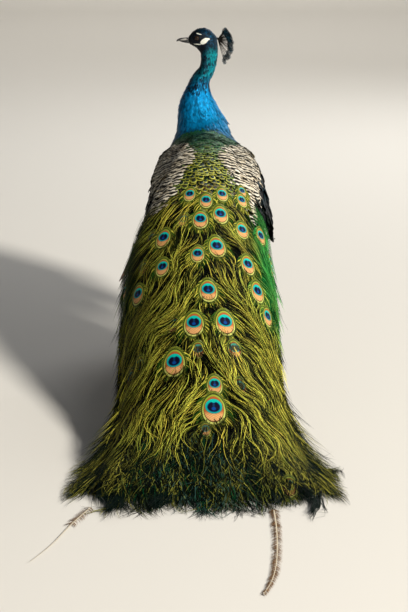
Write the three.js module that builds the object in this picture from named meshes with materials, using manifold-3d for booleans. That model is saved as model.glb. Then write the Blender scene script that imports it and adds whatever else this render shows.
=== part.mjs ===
// A standing Indian peafowl cock, life size, with its head turned to its left and its train trailing on the floor.
// Millimetres, +Z up. The bird stands facing +Y, +X is its right side, and the train runs back along -Y.
// Each form is a three.js sphere whose rings are set along a line of the body, so that it is closed from the start.
// Neighbours are cut from one another with a small gap, and the whole is centred over the floor at the end.
import * as THREE from "three";
import { mergeVertices } from "three/addons/utils/BufferGeometryUtils.js";
import Module from "manifold-3d";

const wasm = await Module();
wasm.setup();

// ---------------------------------------------------------------- driving dimensions
const GAP = 0.3; // left between pieces that meet
const TIDY = 0.06; // how far the surface of a piece may move to spare it needless edges
const STANCE = 58; // half the distance between the feet
const SHANK_RADIUS = 7;
const EYE_RADIUS = 6.2;
const EYE_AT = { forward: 17, out: 12.6, height: 681 }; // measured from the neck's line, the head facing -X
const HEAD_Y = 150; // how far the head stands ahead of the feet
const SADDLE_FRONT = 96; // where the scaly saddle of the back starts, ahead of the feet
const TRAIN_END = -1085; // where the matted train ends on the floor
const TRAIN_CUTS = [-292, -560, -810]; // where the train is parted into lengths
const FLOOR_LOBES = 13; // bunches of feather ends in the fan on the floor
const FAN_CUTS = [-90, 100]; // where the fan is parted
const CREST_FEATHERS = 11;
const TAIL_FEATHERS = 7;
const TAIL_DROP = 13; // how far the tail feathers hang below the train's hollow

// Stations of the flesh and its coat from the bill to the vent. at is the middle of the ring; wide is half its
// width, rise its reach towards the back and drop its reach towards the throat and belly; turn is the way that
// the bird faces there, in degrees left of +Y.
const BODY = [
  { place: "forehead tip", at: [-41, HEAD_Y, 676], wide: 5, rise: 5, drop: 5, turn: 90 },
  { place: "forehead", at: [-33, HEAD_Y, 677], wide: 11, rise: 12, drop: 12, turn: 90 },
  { place: "face", at: [-20, HEAD_Y, 679], wide: 16.5, rise: 21, drop: 21, turn: 90 },
  { place: "brow", at: [-5, HEAD_Y, 680], wide: 19.5, rise: 26, drop: 29, turn: 90 },
  { place: "crown", at: [8, HEAD_Y, 676], wide: 20, rise: 24, drop: 31, turn: 88 },
  { place: "occiput", at: [15, 149, 661], wide: 19, rise: 19.5, drop: 25, turn: 84 },
  { place: "nape", at: [16, 148, 642], wide: 18.5, rise: 18, drop: 21, turn: 78 },
  { place: "upper neck", at: [13, 147, 621], wide: 18.5, rise: 18, drop: 17, turn: 68 },
  { place: "neck bend", at: [6, 146, 602], wide: 18.5, rise: 19, drop: 19, turn: 52 },
  { place: "mid neck", at: [-5, 148, 584], wide: 21.5, rise: 22, drop: 25, turn: 34 },
  { place: "lower neck", at: [-12, 151, 561], wide: 28.5, rise: 27, drop: 33, turn: 20 },
  { place: "crop", at: [-14, 153, 532], wide: 38, rise: 35, drop: 42, turn: 10 },
  { place: "neck base", at: [-9, 150, 498], wide: 49, rise: 44, drop: 52, turn: 4 },
  { place: "throat of the breast", at: [-1, 137, 462], wide: 66, rise: 52, drop: 68, turn: 0 },
  { place: "shoulders", at: [0, 108, 426], wide: 84, rise: 58, drop: 86, turn: 0 },
  { place: "breast", at: [0, 62, 392], wide: 98, rise: 76, drop: 100, turn: 0 },
  { place: "back", at: [0, 0, 370], wide: 104, rise: 88, drop: 108, turn: 0 },
  { place: "loin", at: [0, -75, 358], wide: 102, rise: 90, drop: 96, turn: 0 },
  { place: "rump", at: [0, -150, 352], wide: 88, rise: 80, drop: 76, turn: 0 },
  { place: "vent", at: [0, -215, 346], wide: 60, rise: 56, drop: 50, turn: 0 },
  { place: "tail root", at: [0, -262, 336], wide: 26, rise: 26, drop: 24, turn: 0 },
];
// Where the body is parted, as places between two stations.
const BODY_CUTS = { neckTop: 5.75, neckMiddle: 8.6, neckBase: 12.2, breastBack: 15.2, rumpFront: 17.6 };

// Stations of the train from the saddle to the floor: y along the bird, the middle's drift to the right, half width,
// height of its crown, of its side edges, and of its underside at the middle.
const TRAIN = [
  { y: SADDLE_FRONT, mid: 4, wide: 20, crown: 468, edge: 452, under: 440 },
  { y: 40, mid: 5, wide: 43, crown: 475, edge: 452, under: 430 },
  { y: -40, mid: 5, wide: 66, crown: 472, edge: 430, under: 400 },
  { y: -120, mid: 3, wide: 96, crown: 459, edge: 394, under: 380 },
  { y: -200, mid: 0, wide: 124, crown: 433, edge: 344, under: 350 },
  { y: -300, mid: -5, wide: 147, crown: 388, edge: 276, under: 318 },
  { y: -420, mid: -11, wide: 163, crown: 330, edge: 204, under: 262 },
  { y: -560, mid: -9, wide: 162, crown: 262, edge: 124, under: 178 },
  { y: -700, mid: -6, wide: 160, crown: 193, edge: 62, under: 92 },
  { y: -820, mid: 0, wide: 171, crown: 134, edge: 20, under: 22 },
  { y: -920, mid: 2, wide: 190, crown: 86, edge: 6, under: 0 },
  { y: -1010, mid: 3, wide: 210, crown: 45, edge: 3, under: 0 },
  { y: TRAIN_END, mid: 4, wide: 212, crown: 14, edge: 2, under: 0 },
];

const COLOURS = {
  crown: { color: "#123c8c", roughness: 0.4, metalness: 0.4 },
  neck: { color: "#0f4fb0", roughness: 0.4, metalness: 0.4 },
  breast: { color: "#0b5a86", roughness: 0.45, metalness: 0.3 },
  belly: { color: "#16211c", roughness: 0.7, metalness: 0 },
  saddle: { color: "#6f8a2a", roughness: 0.45, metalness: 0.3 },
  train: { color: "#59601f", roughness: 0.5, metalness: 0.2 },
  barred: { color: "#b6a88c", roughness: 0.7, metalness: 0 },
  covert: { color: "#121a24", roughness: 0.5, metalness: 0.1 },
  flight: { color: "#8a4c22", roughness: 0.6, metalness: 0 },
  tail: { color: "#4b3a2a", roughness: 0.7, metalness: 0 },
  thigh: { color: "#8d7355", roughness: 0.8, metalness: 0 },
  leg: { color: "#6f665c", roughness: 0.6, metalness: 0 },
  claw: { color: "#3a332c", roughness: 0.4, metalness: 0 },
  bill: { color: "#6d6a66", roughness: 0.4, metalness: 0 },
  eye: { color: "#20130c", roughness: 0.05, metalness: 0 },
  shaft: { color: "#d8cdb4", roughness: 0.5, metalness: 0 },
};

// ---------------------------------------------------------------- solids
const bird = new THREE.Group();

function solid(geometry) {
  const bare = geometry.clone();
  bare.deleteAttribute("normal");
  bare.deleteAttribute("uv");
  const merged = mergeVertices(bare, 1e-3);
  return new wasm.Manifold(
    new wasm.Mesh({
      numProp: 3,
      vertProperties: merged.attributes.position.array,
      triVerts: new Uint32Array(merged.index.array),
    }),
  );
}

// The largest body of a solid, because a cut can leave slivers beside it.
function largest(form) {
  const bodies = form.decompose();
  return bodies.reduce((best, body) => (body.volume() > best.volume() ? body : best));
}

function addNode(name, form, finish) {
  const mesh = largest(largest(form).asOriginal().simplify(TIDY)).getMesh();
  const geometry = new THREE.BufferGeometry();
  geometry.setAttribute("position", new THREE.BufferAttribute(mesh.vertProperties, 3));
  geometry.setIndex(new THREE.BufferAttribute(mesh.triVerts, 1));
  geometry.computeVertexNormals();
  const node = new THREE.Mesh(geometry, new THREE.MeshStandardMaterial(COLOURS[finish]));
  node.name = name;
  bird.add(node);
}

const curveThrough = (points) =>
  new THREE.CatmullRomCurve3(points.map((p) => new THREE.Vector3(...p)), false, "catmullrom", 0.5);

// A sphere whose rings are placed by place(t, side, up): t runs from 0 to 1 between the poles, and (side, up) is
// the ring's unit circle, or (0, 0) at a pole. Nothing reaches below the floor.
function ringed(around, along, place) {
  const geometry = new THREE.SphereGeometry(1, around, along);
  const points = geometry.attributes.position;
  const point = new THREE.Vector3();
  for (let i = 0; i < points.count; i++) {
    point.fromBufferAttribute(points, i);
    const radius = Math.hypot(point.x, point.z);
    const t = Math.acos(THREE.MathUtils.clamp(point.y, -1, 1)) / Math.PI;
    const placed = radius < 1e-6 ? place(Math.round(t), 0, 0) : place(t, point.x / radius, point.z / radius);
    points.setXYZ(i, placed.x, placed.y, Math.max(0, placed.z));
  }
  return solid(geometry);
}

// The frame of a line of stations at t: the middle of the ring, its side and back directions, and its sizes.
function lineOf(stations) {
  const middle = curveThrough(stations.map((s) => s.at));
  const sizes = curveThrough(stations.map((s) => [s.wide, s.rise, s.drop]));
  const last = stations.length - 1;
  return (t) => {
    const before = Math.min(Math.floor(t * last), last - 1);
    const mixed = (key) =>
      THREE.MathUtils.lerp(stations[before][key] ?? 0, stations[before + 1][key] ?? 0, t * last - before);
    const turn = THREE.MathUtils.degToRad(mixed("turn"));
    const tangent = middle.getTangent(t);
    const side = new THREE.Vector3(Math.cos(turn), Math.sin(turn), 0).projectOnPlane(tangent).normalize();
    side.applyAxisAngle(tangent, THREE.MathUtils.degToRad(mixed("roll")));
    const back = new THREE.Vector3().crossVectors(tangent, side);
    const size = sizes.getPoint(t);
    return { at: middle.getPoint(t), tangent, side, back, wide: size.x, rise: size.y, drop: size.z };
  };
}

// An oval form along a line of stations, grown outwards by grow.
function sweep(stations, { around = 12, along = 12, grow = 0 } = {}) {
  const frameAt = lineOf(stations);
  return ringed(around, along, (t, side, up) => {
    const frame = frameAt(t);
    const reach = (up > 0 ? frame.rise : frame.drop) + grow;
    const end = side === 0 && up === 0 ? (t > 0.5 ? grow : -grow) : 0;
    return frame.at
      .addScaledVector(frame.tangent, end)
      .addScaledVector(frame.side, side * (frame.wide + grow))
      .addScaledVector(frame.back, up * reach);
  });
}

const mirrored = (stations) =>
  stations.map((s) => ({ ...s, at: [-s.at[0], s.at[1], s.at[2]], roll: -(s.roll ?? 0) }));

// side is 1 for the bird's right and -1 for its left.
const onSide = (stations, side) => (side > 0 ? stations : mirrored(stations));
const SIDES = [
  ["right", 1],
  ["left", -1],
];

// A form with room around it: itself joined with copies of itself moved a little each way.
function withRoom(form, room = 1.7 * GAP) {
  const moves = [[1, 0, 0], [-1, 0, 0], [0, 1, 0], [0, -1, 0], [0, 0, 1], [0, 0, -1]];
  return wasm.Manifold.union([form, ...moves.map((move) => form.translate(move.map((m) => m * room)))]);
}

// Keeps what lies beyond the plane through point whose normal is ahead.
const beyond = (form, ahead, point, gap = GAP / 2) =>
  form.trimByPlane(ahead.toArray(), ahead.dot(point) + gap);

// ---------------------------------------------------------------- body
const bodyOptions = { around: 18, along: 38 };
const body = sweep(BODY, bodyOptions);
const bodyGrown = sweep(BODY, { ...bodyOptions, grow: GAP });

// The length of form between two places of the body's line; a null place leaves that end whole.
function bodyLength(form, from, to) {
  const frameAt = lineOf(BODY);
  const last = BODY.length - 1;
  let length = form;
  if (from !== null) {
    const { at, tangent } = frameAt(from / last);
    length = beyond(length, tangent, at);
  }
  if (to !== null) {
    const { at, tangent } = frameAt(to / last);
    length = beyond(length, tangent.negate(), at);
  }
  return length;
}

// ---------------------------------------------------------------- train
// The train is an arch of feathers: a crown over two lower edges, with a shallow hollow beneath.
function trainForm() {
  const sizes = curveThrough(TRAIN.map((s) => [s.wide, s.y, s.crown]));
  const heights = curveThrough(TRAIN.map((s) => [s.edge, s.under, s.mid]));
  return ringed(22, 20, (t, side, up) => {
    const { x: wide, y, z: crown } = sizes.getPoint(t);
    const { x: edge, y: under, z: mid } = heights.getPoint(t);
    if (side === 0 && up === 0) {
      return new THREE.Vector3(mid, y, Math.max((crown + under) / 2, 4));
    }
    const reach = up > 0 ? crown - edge : under - edge;
    return new THREE.Vector3(mid + side * wide, y, edge + Math.abs(up) * reach);
  });
}

// ---------------------------------------------------------------- tail feathers under the train
function tailForm() {
  const feathers = [];
  for (let i = 0; i < TAIL_FEATHERS; i++) {
    const spread = (2 * i) / (TAIL_FEATHERS - 1) - 1;
    const length = 360 - 50 * spread * spread;
    const stations = [
      { at: [14 * spread, -238, 326], wide: 10, rise: 3, drop: 3 },
      { at: [40 * spread, -238 - 0.45 * length, 262], wide: 21, rise: 3, drop: 3 },
      { at: [74 * spread, -238 - 0.9 * length, 178 - 8 * spread * spread], wide: 26, rise: 3, drop: 3 },
      { at: [80 * spread, -238 - length, 160 - 10 * spread * spread], wide: 12, rise: 2, drop: 2 },
    ];
    const stacked = stations.map((s) => ({ ...s, at: [s.at[0], s.at[1], s.at[2] - TAIL_DROP - 7 * Math.abs(spread)] }));
    feathers.push(sweep(stacked, { around: 5, along: 6 }));
  }
  return wasm.Manifold.union(feathers);
}

// ---------------------------------------------------------------- wings
const WING = {
  barred: [
    { at: [44, 122, 437], wide: 7, rise: 10, drop: 12, roll: 64 },
    { at: [62, 100, 434], wide: 14, rise: 28, drop: 32, roll: 62 },
    { at: [80, 55, 425], wide: 20, rise: 44, drop: 46, roll: 56 },
    { at: [93, -10, 412], wide: 23, rise: 50, drop: 52, roll: 48 },
    { at: [105, -95, 390], wide: 23, rise: 48, drop: 56, roll: 40 },
    { at: [114, -185, 358], wide: 18, rise: 40, drop: 46, roll: 30 },
    { at: [116, -265, 322], wide: 12, rise: 26, drop: 30, roll: 22 },
    { at: [112, -325, 296], wide: 4, rise: 8, drop: 8, roll: 18 },
  ],
  covert: [
    { at: [74, 126, 392], wide: 8, rise: 12, drop: 14, roll: 26 },
    { at: [97, 84, 378], wide: 17, rise: 36, drop: 38, roll: 24 },
    { at: [115, 4, 360], wide: 20, rise: 44, drop: 46, roll: 20 },
    { at: [129, -86, 337], wide: 18, rise: 42, drop: 44, roll: 15 },
    { at: [140, -170, 308], wide: 13, rise: 36, drop: 38, roll: 10 },
    { at: [146, -255, 276], wide: 6, rise: 14, drop: 16, roll: 6 },
  ],
  flight: [
    { at: [112, 20, 326], wide: 7, rise: 16, drop: 14, roll: 8 },
    { at: [126, -60, 304], wide: 10, rise: 22, drop: 24, roll: 6 },
    { at: [138, -150, 274], wide: 9, rise: 24, drop: 24, roll: 4 },
    { at: [145, -235, 240], wide: 6, rise: 18, drop: 18, roll: 2 },
    { at: [150, -322, 202], wide: 2.5, rise: 6, drop: 6, roll: 0 },
  ],
};
// The wings lie a little unevenly: each part is moved out by so much at its shoulder and at its tip.
const WING_SPREAD = {
  barred: { right: [-1, 3], left: [-12, -22] },
  covert: { right: [3, 6], left: [-12, -18] },
  flight: { right: [0, -6], left: [0, 36] },
};
const WING_DETAIL = {
  barred: { around: 11, along: 10 },
  covert: { around: 10, along: 9 },
  flight: { around: 8, along: 8 },
};

function wingForm(part, side, grow = 0) {
  const [shoulder, tip] = WING_SPREAD[part][side > 0 ? "right" : "left"];
  const spread = WING[part].map((s) => {
    const out = THREE.MathUtils.mapLinear(s.at[1], 120, -320, shoulder, tip);
    return { ...s, at: [s.at[0] + out, s.at[1], s.at[2]] };
  });
  return sweep(onSide(spread, side), { ...WING_DETAIL[part], grow });
}

// ---------------------------------------------------------------- legs
const HOCK = { y: -44, height: 172 };
const thighStations = [
  { at: [62, 14, 306], wide: 38, rise: 46, drop: 46 },
  { at: [65, 4, 262], wide: 36, rise: 44, drop: 40 },
  { at: [65, -14, 226], wide: 27, rise: 31, drop: 27 },
  { at: [62, -32, 196], wide: 16, rise: 17, drop: 16 },
  { at: [60, HOCK.y + 2, HOCK.height - 6], wide: 9, rise: 9, drop: 9 },
];
const shankStations = [
  { at: [60, HOCK.y, HOCK.height + 12], wide: 8, rise: 8, drop: 8 },
  { at: [60, HOCK.y, HOCK.height - 8], wide: 9, rise: 10, drop: 9 },
  { at: [59.5, HOCK.y + 8, HOCK.height - 34], wide: SHANK_RADIUS - 0.5, rise: SHANK_RADIUS, drop: SHANK_RADIUS },
  { at: [58.5, -16, 74], wide: SHANK_RADIUS - 1, rise: SHANK_RADIUS, drop: SHANK_RADIUS - 0.5 },
  { at: [STANCE, -4, 34], wide: SHANK_RADIUS, rise: SHANK_RADIUS, drop: SHANK_RADIUS },
  { at: [STANCE, 1, 14], wide: 8, rise: 8, drop: 8 },
];
// Toes: the way each points, in degrees right of +Y on the right foot, its length, and where its joints swell.
const TOES = [
  { name: "middle", heading: 4, length: 78, pads: 3, thick: 6.4 },
  { name: "inner", heading: -34, length: 58, pads: 2, thick: 6 },
  { name: "outer", heading: 40, length: 62, pads: 3, thick: 5.8 },
  { name: "hind", heading: 168, length: 34, pads: 1, thick: 5 },
];
const CLAW_LENGTH = 11;

// A point on a toe's line, at a distance from the foot's middle.
function toePoint(toe, distance, height, side) {
  const heading = THREE.MathUtils.degToRad(toe.heading);
  return [side * (STANCE + Math.sin(heading) * distance), 1 + Math.cos(heading) * distance, height];
}

function toeForm(toe, side) {
  const stations = [
    { at: toePoint(toe, -9, 8, side), wide: 5, rise: 6, drop: 10 },
    { at: toePoint(toe, 0, 9, side), wide: 8, rise: 8, drop: 12 },
  ];
  for (let pad = 1; pad <= toe.pads; pad++) {
    const swell = toe.thick - 0.7 * pad;
    const middle = (toe.length * (pad - 0.15)) / (toe.pads + 0.25);
    const joint = (toe.length * (pad + 0.3)) / (toe.pads + 0.25);
    stations.push({ at: toePoint(toe, middle, 5.4, side), wide: swell + 0.8, rise: swell, drop: 8.2 });
    stations.push({ at: toePoint(toe, joint, 5, side), wide: swell - 0.6, rise: swell - 0.4, drop: 7.4 });
  }
  stations.push({ at: toePoint(toe, toe.length + 2, 4.6, side), wide: 3.6, rise: 3.6, drop: 6.6 });
  return sweep(stations, { around: 6, along: 4 + 2 * toe.pads });
}

// The plane between a toe and its claw.
function clawPlane(toe, side) {
  const from = new THREE.Vector3(...toePoint(toe, 0, 0, side));
  const point = new THREE.Vector3(...toePoint(toe, toe.length - 4, 0, side));
  return { point, ahead: point.clone().sub(from).normalize() };
}

function footForm(side) {
  const toes = TOES.map((toe) => {
    const { point, ahead } = clawPlane(toe, side);
    return beyond(toeForm(toe, side), ahead.negate(), point);
  });
  return wasm.Manifold.union(toes);
}

function clawForm(toe, side) {
  const stations = [
    { at: toePoint(toe, toe.length - 9, 5.4, side), wide: 2.6, rise: 2.8, drop: 2.8 },
    { at: toePoint(toe, toe.length + 1, 6.2, side), wide: 2.6, rise: 2.8, drop: 2.8 },
    { at: toePoint(toe, toe.length + 0.6 * CLAW_LENGTH, 5.6, side), wide: 1.8, rise: 1.9, drop: 1.9 },
    { at: toePoint(toe, toe.length + CLAW_LENGTH, 2.4, side), wide: 0.7, rise: 0.8, drop: 0.8 },
  ];
  const { point, ahead } = clawPlane(toe, side);
  return beyond(sweep(stations, { around: 6, along: 6 }), ahead, point);
}

function spurForm(side) {
  const stations = [
    { at: [side * 57, -22, 72], wide: 4.6, rise: 4.6, drop: 4.6 },
    { at: [side * 53, -33, 71], wide: 3.4, rise: 3.4, drop: 3.4 },
    { at: [side * 49, -44, 75], wide: 0.8, rise: 0.8, drop: 0.8 },
  ];
  return sweep(stations, { around: 7, along: 5 });
}

// ---------------------------------------------------------------- head
const eyeForm = (side, grow = 0) =>
  solid(
    new THREE.SphereGeometry(EYE_RADIUS + grow, 10, 7).translate(
      -EYE_AT.forward,
      HEAD_Y + side * EYE_AT.out,
      EYE_AT.height,
    ),
  );

const upperBill = [
  { at: [-26, HEAD_Y, 680], wide: 9, rise: 9, drop: 6, turn: 90 },
  { at: [-42, HEAD_Y, 678.5], wide: 7.4, rise: 9.4, drop: 5, turn: 90 },
  { at: [-54, HEAD_Y, 677], wide: 4.8, rise: 6.8, drop: 3.6, turn: 90 },
  { at: [-62.5, HEAD_Y, 673.5], wide: 2.5, rise: 3.6, drop: 2.6, turn: 90 },
  { at: [-67, HEAD_Y, 668.5], wide: 0.8, rise: 0.8, drop: 0.8, turn: 90 },
];
const lowerBill = [
  { at: [-26, HEAD_Y, 668], wide: 7, rise: 5, drop: 5, turn: 90 },
  { at: [-42, HEAD_Y, 669.5], wide: 5.6, rise: 4, drop: 4, turn: 90 },
  { at: [-53, HEAD_Y, 670.5], wide: 3.6, rise: 3, drop: 3, turn: 90 },
  { at: [-60, HEAD_Y, 671], wide: 1, rise: 1, drop: 1, turn: 90 },
];

// The crest: bare shafts that fan out behind the crown, each with a small spade of vane at its tip.
const CREST = { root: [33, HEAD_Y, 677], top: 52, bottom: -74, shortest: 34, longest: 66, spade: 15 };

function crestForm() {
  const [rootX, rootY, rootZ] = CREST.root;
  const base = solid(new THREE.SphereGeometry(5, 8, 6).translate(rootX + 1, rootY, rootZ));
  const feathers = [base];
  for (let i = 0; i < CREST_FEATHERS; i++) {
    const share = i / (CREST_FEATHERS - 1);
    const angle = THREE.MathUtils.degToRad(THREE.MathUtils.lerp(CREST.top, CREST.bottom, share));
    const tip = THREE.MathUtils.lerp(CREST.shortest, CREST.longest, share ** 2.2);
    const lean = 3 * Math.sin(i * 2.4);
    const along = (distance, thick, flat) => ({
      at: [
        rootX + Math.cos(angle) * distance,
        rootY + (lean * distance) / tip,
        rootZ + Math.sin(angle) * distance,
      ],
      wide: thick,
      rise: flat,
      drop: flat,
      turn: 90,
    });
    const shaft = [along(-8, 1.2, 1.2), along(0.5 * tip, 1, 1), along(tip - 2, 1.2, 1.2)];
    const vane = [along(tip - CREST.spade, 0.9, 1.4), along(tip - 7, 1.2, 5), along(tip - 3, 1, 4.4), along(tip, 0.6, 1)];
    feathers.push(sweep(shaft, { around: 3, along: 3 }), sweep(vane, { around: 5, along: 4 }));
  }
  return wasm.Manifold.union(feathers);
}

// ---------------------------------------------------------------- fan of feather ends on the floor
// A mat of long feather ends lies round the train's rim, and its ends part into bunches turned towards the sides.
const RIM = [
  { at: [-242, -1000, 4], wide: 8, rise: 3, drop: 6, turn: 90 },
  { at: [-214, -1000, 4], wide: 62, rise: 6, drop: 6, turn: 90 },
  { at: [-150, -1020, 4], wide: 80, rise: 8, drop: 6, turn: 90 },
  { at: [5, -1040, 4], wide: 82, rise: 9, drop: 6, turn: 90 },
  { at: [160, -1020, 4], wide: 80, rise: 8, drop: 6, turn: 90 },
  { at: [228, -1000, 4], wide: 62, rise: 6, drop: 6, turn: 90 },
  { at: [256, -1000, 4], wide: 8, rise: 3, drop: 6, turn: 90 },
];

function lobeForm(share) {
  const heading = THREE.MathUtils.degToRad(-90 + 66 * share);
  const start = new THREE.Vector2(6 + 196 * share, -1072 + 70 * share * share);
  const length = (72 + 4 * share * share) * (1 + 0.22 * Math.sin(share * 37));
  const along = (part, height, wide, rise) => ({
    at: [start.x + Math.cos(heading) * length * part, start.y + Math.sin(heading) * length * part, height],
    wide,
    rise,
    drop: 1.6 * height,
  });
  const stations = [along(0, 6, 12, 9), along(0.4, 5, 13, 7), along(0.8, 4, 8, 5), along(1, 2, 2, 1.6)];
  return sweep(stations, { around: 5, along: 5 });
}

// The fan between two places across it, each a distance right of the middle.
function fanForm(from, to) {
  const forms = [sweep(RIM, { around: 6, along: 12 })];
  for (let i = 0; i < FLOOR_LOBES; i++) forms.push(lobeForm((2 * i) / (FLOOR_LOBES - 1) - 1));
  const across = new THREE.Vector3(1, 0, 0);
  let form = wasm.Manifold.union(forms);
  if (from !== null) form = beyond(form, across, new THREE.Vector3(from, 0, 0));
  if (to !== null) form = beyond(form, across.clone().negate(), new THREE.Vector3(to, 0, 0));
  return form;
}

// Two worn feathers trail out beyond the fan: a barbed one on the right and a bare shaft on the left.
const trailing = {
  barbed: [
    { at: [122, -1090, 3.5], wide: 5, rise: 1.6, drop: 5 },
    { at: [124, -1180, 3.5], wide: 8, rise: 1.6, drop: 5 },
    { at: [120, -1290, 3], wide: 7, rise: 1.4, drop: 4.4 },
    { at: [110, -1370, 2.5], wide: 3, rise: 1.2, drop: 3.6 },
    { at: [90, -1430, 2], wide: 1.2, rise: 1, drop: 3 },
  ],
  bare: [
    { at: [-196, -1085, 2.5], wide: 2, rise: 1.4, drop: 3.6 },
    { at: [-226, -1160, 2.5], wide: 2, rise: 1.4, drop: 3.6 },
    { at: [-252, -1245, 2.2], wide: 1.6, rise: 1.2, drop: 3.2 },
    { at: [-284, -1315, 2], wide: 1, rise: 1, drop: 3 },
  ],
};

// ---------------------------------------------------------------- the nodes
const train = trainForm();
const trainGrown = withRoom(train);
const tailGrown = withRoom(tailForm());

const eyes = SIDES.map(([, side]) => eyeForm(side, GAP));
const headWhole = bodyLength(body, null, BODY_CUTS.neckTop);
addNode("head", headWhole.subtract(wasm.Manifold.union(eyes)), "crown");
addNode("neck_upper", bodyLength(body, BODY_CUTS.neckTop, BODY_CUTS.neckMiddle), "neck");
addNode("neck_lower", bodyLength(body, BODY_CUTS.neckMiddle, BODY_CUTS.neckBase), "neck");
addNode("breast", bodyLength(body, BODY_CUTS.neckBase, BODY_CUTS.breastBack), "breast");
addNode("trunk", bodyLength(body, BODY_CUTS.breastBack, BODY_CUTS.rumpFront), "belly");
addNode("rump", bodyLength(body, BODY_CUTS.rumpFront, null), "belly");

for (const [name, side] of SIDES) addNode(`eye_${name}`, eyeForm(side), "eye");
const upper = sweep(upperBill, { around: 10, along: 8 });
const upperGrown = sweep(upperBill, { around: 10, along: 8, grow: GAP });
addNode("bill_upper", upper.subtract(bodyGrown), "bill");
addNode("bill_lower", sweep(lowerBill, { around: 8, along: 7 }).subtract(bodyGrown).subtract(upperGrown), "bill");
addNode("crest", crestForm().subtract(bodyGrown), "crown");

for (const [name, side] of SIDES) {
  const barred = wingForm("barred", side, GAP);
  const covert = wingForm("covert", side, GAP);
  const under = bodyGrown.add(trainGrown);
  addNode(`wing_barred_${name}`, wingForm("barred", side).subtract(under), "barred");
  addNode(`wing_covert_${name}`, wingForm("covert", side).subtract(under).subtract(barred), "covert");
  addNode(`wing_flight_${name}`, wingForm("flight", side).subtract(under.add(barred).add(covert)), "flight");
}

for (const [name, side] of SIDES) {
  const thigh = onSide(thighStations, side);
  const shank = onSide(shankStations, side);
  const thighGrown = sweep(thigh, { around: 10, along: 8, grow: GAP });
  const shankGrown = sweep(shank, { around: 8, along: 10, grow: GAP });
  const wings = wingForm("covert", side, GAP).add(wingForm("flight", side, GAP));
  addNode(`thigh_${name}`, sweep(thigh, { around: 10, along: 8 }).subtract(bodyGrown).subtract(wings), "thigh");
  addNode(`shank_${name}`, sweep(shank, { around: 8, along: 10 }).subtract(thighGrown), "leg");
  addNode(`foot_${name}`, footForm(side).subtract(shankGrown), "leg");
  addNode(`spur_${name}`, spurForm(side).subtract(shankGrown), "claw");
  for (const toe of TOES) addNode(`claw_${toe.name}_${name}`, clawForm(toe, side), "claw");
}

addNode("tail", tailForm().subtract(bodyGrown), "tail");
const trainFree = train.subtract(bodyGrown).subtract(tailGrown);
const back = new THREE.Vector3(0, -1, 0);
const trainNames = ["saddle", "train_fore", "train_middle", "train_rear"];
trainNames.forEach((name, i) => {
  let length = trainFree;
  if (i > 0) length = beyond(length, back, new THREE.Vector3(0, TRAIN_CUTS[i - 1], 0));
  if (i < TRAIN_CUTS.length) length = beyond(length, back.clone().negate(), new THREE.Vector3(0, TRAIN_CUTS[i], 0));
  addNode(name, length, i ? "train" : "saddle");
});

for (const [name, from, to] of [["left", null, FAN_CUTS[0]], ["middle", ...FAN_CUTS], ["right", FAN_CUTS[1], null]])
  addNode(`train_fan_${name}`, fanForm(from, to).subtract(trainGrown), "train");

const fanGrown = withRoom(fanForm(null, null)).add(trainGrown);
addNode("trailing_feather", sweep(trailing.barbed, { around: 6, along: 10 }).subtract(fanGrown), "flight");
addNode("trailing_shaft", sweep(trailing.bare, { around: 5, along: 8 }).subtract(fanGrown), "shaft");

// The origin is on the floor, under the middle of the bird's outline.
bird.updateMatrixWorld(true);
const middle = new THREE.Box3().setFromObject(bird, true).getCenter(new THREE.Vector3());
bird.children.forEach((node) => node.position.set(-middle.x, -middle.y, 0));

export default bird;
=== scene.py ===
"""An Indian peacock at life size, from behind: its head is turned to its left, its train lies on the floor.

Every place below is in metres in the bird's own frame: the feet stand at y = 0, +Y is the way the bird faces,
+X is its right side and +Z is up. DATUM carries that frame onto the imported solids.
"""

import math

import bmesh
import bpy
import numpy as np
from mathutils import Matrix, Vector
from mathutils.bvhtree import BVHTree


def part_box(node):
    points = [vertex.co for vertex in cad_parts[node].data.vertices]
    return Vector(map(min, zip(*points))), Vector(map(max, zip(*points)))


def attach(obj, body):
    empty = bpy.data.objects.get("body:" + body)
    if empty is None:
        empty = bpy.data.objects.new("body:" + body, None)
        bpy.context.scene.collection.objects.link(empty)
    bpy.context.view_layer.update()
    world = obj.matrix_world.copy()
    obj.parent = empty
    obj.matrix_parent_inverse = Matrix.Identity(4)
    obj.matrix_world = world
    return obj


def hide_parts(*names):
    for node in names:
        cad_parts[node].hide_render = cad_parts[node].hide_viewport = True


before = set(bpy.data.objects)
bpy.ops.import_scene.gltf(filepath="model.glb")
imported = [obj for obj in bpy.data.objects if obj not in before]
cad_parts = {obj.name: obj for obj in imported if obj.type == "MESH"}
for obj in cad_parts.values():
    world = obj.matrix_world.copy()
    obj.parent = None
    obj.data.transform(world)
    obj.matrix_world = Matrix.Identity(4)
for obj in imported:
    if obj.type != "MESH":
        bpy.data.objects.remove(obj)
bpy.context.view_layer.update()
chance = np.random.default_rng(11)

# ---------------------------------------------------------------- driving sizes and places
FORE_MIDDLE = -0.426  # the middle of the solid train_fore along the bird
EYE_AT = np.array([-0.017, 0.150, 0.681])  # the middle of the head at the eyes' height
EYE_OUT = 0.0126  # how far each eye's middle is from the middle of the head
EYE_RADIUS = 0.0060
GAPE = 0.6735  # height of the line between the halves of the bill
CREST_ROOT = np.array([0.033, 0.150, 0.678])
CREST_FEATHERS = 24
SKIN_CELL = 0.003  # size of the skin's faces, which are half of that on the head
HEAD_Z = 0.645  # the head is all that stands higher
PATCH = 0.003  # a small feather's patch on the unwrap, which its colours are baked through
WIDE_PATCH = 0.03  # the same for a long feather, and for an eye of the train
FLOOR_GAP = 0.0006  # no feather is nearer to the floor
FLOOR_REACH = 0.262  # no barb on the floor lies further to a side
UP = np.array([0, 0, 1.0])
SIDES = ((1, "right"), (-1, "left"))

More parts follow.
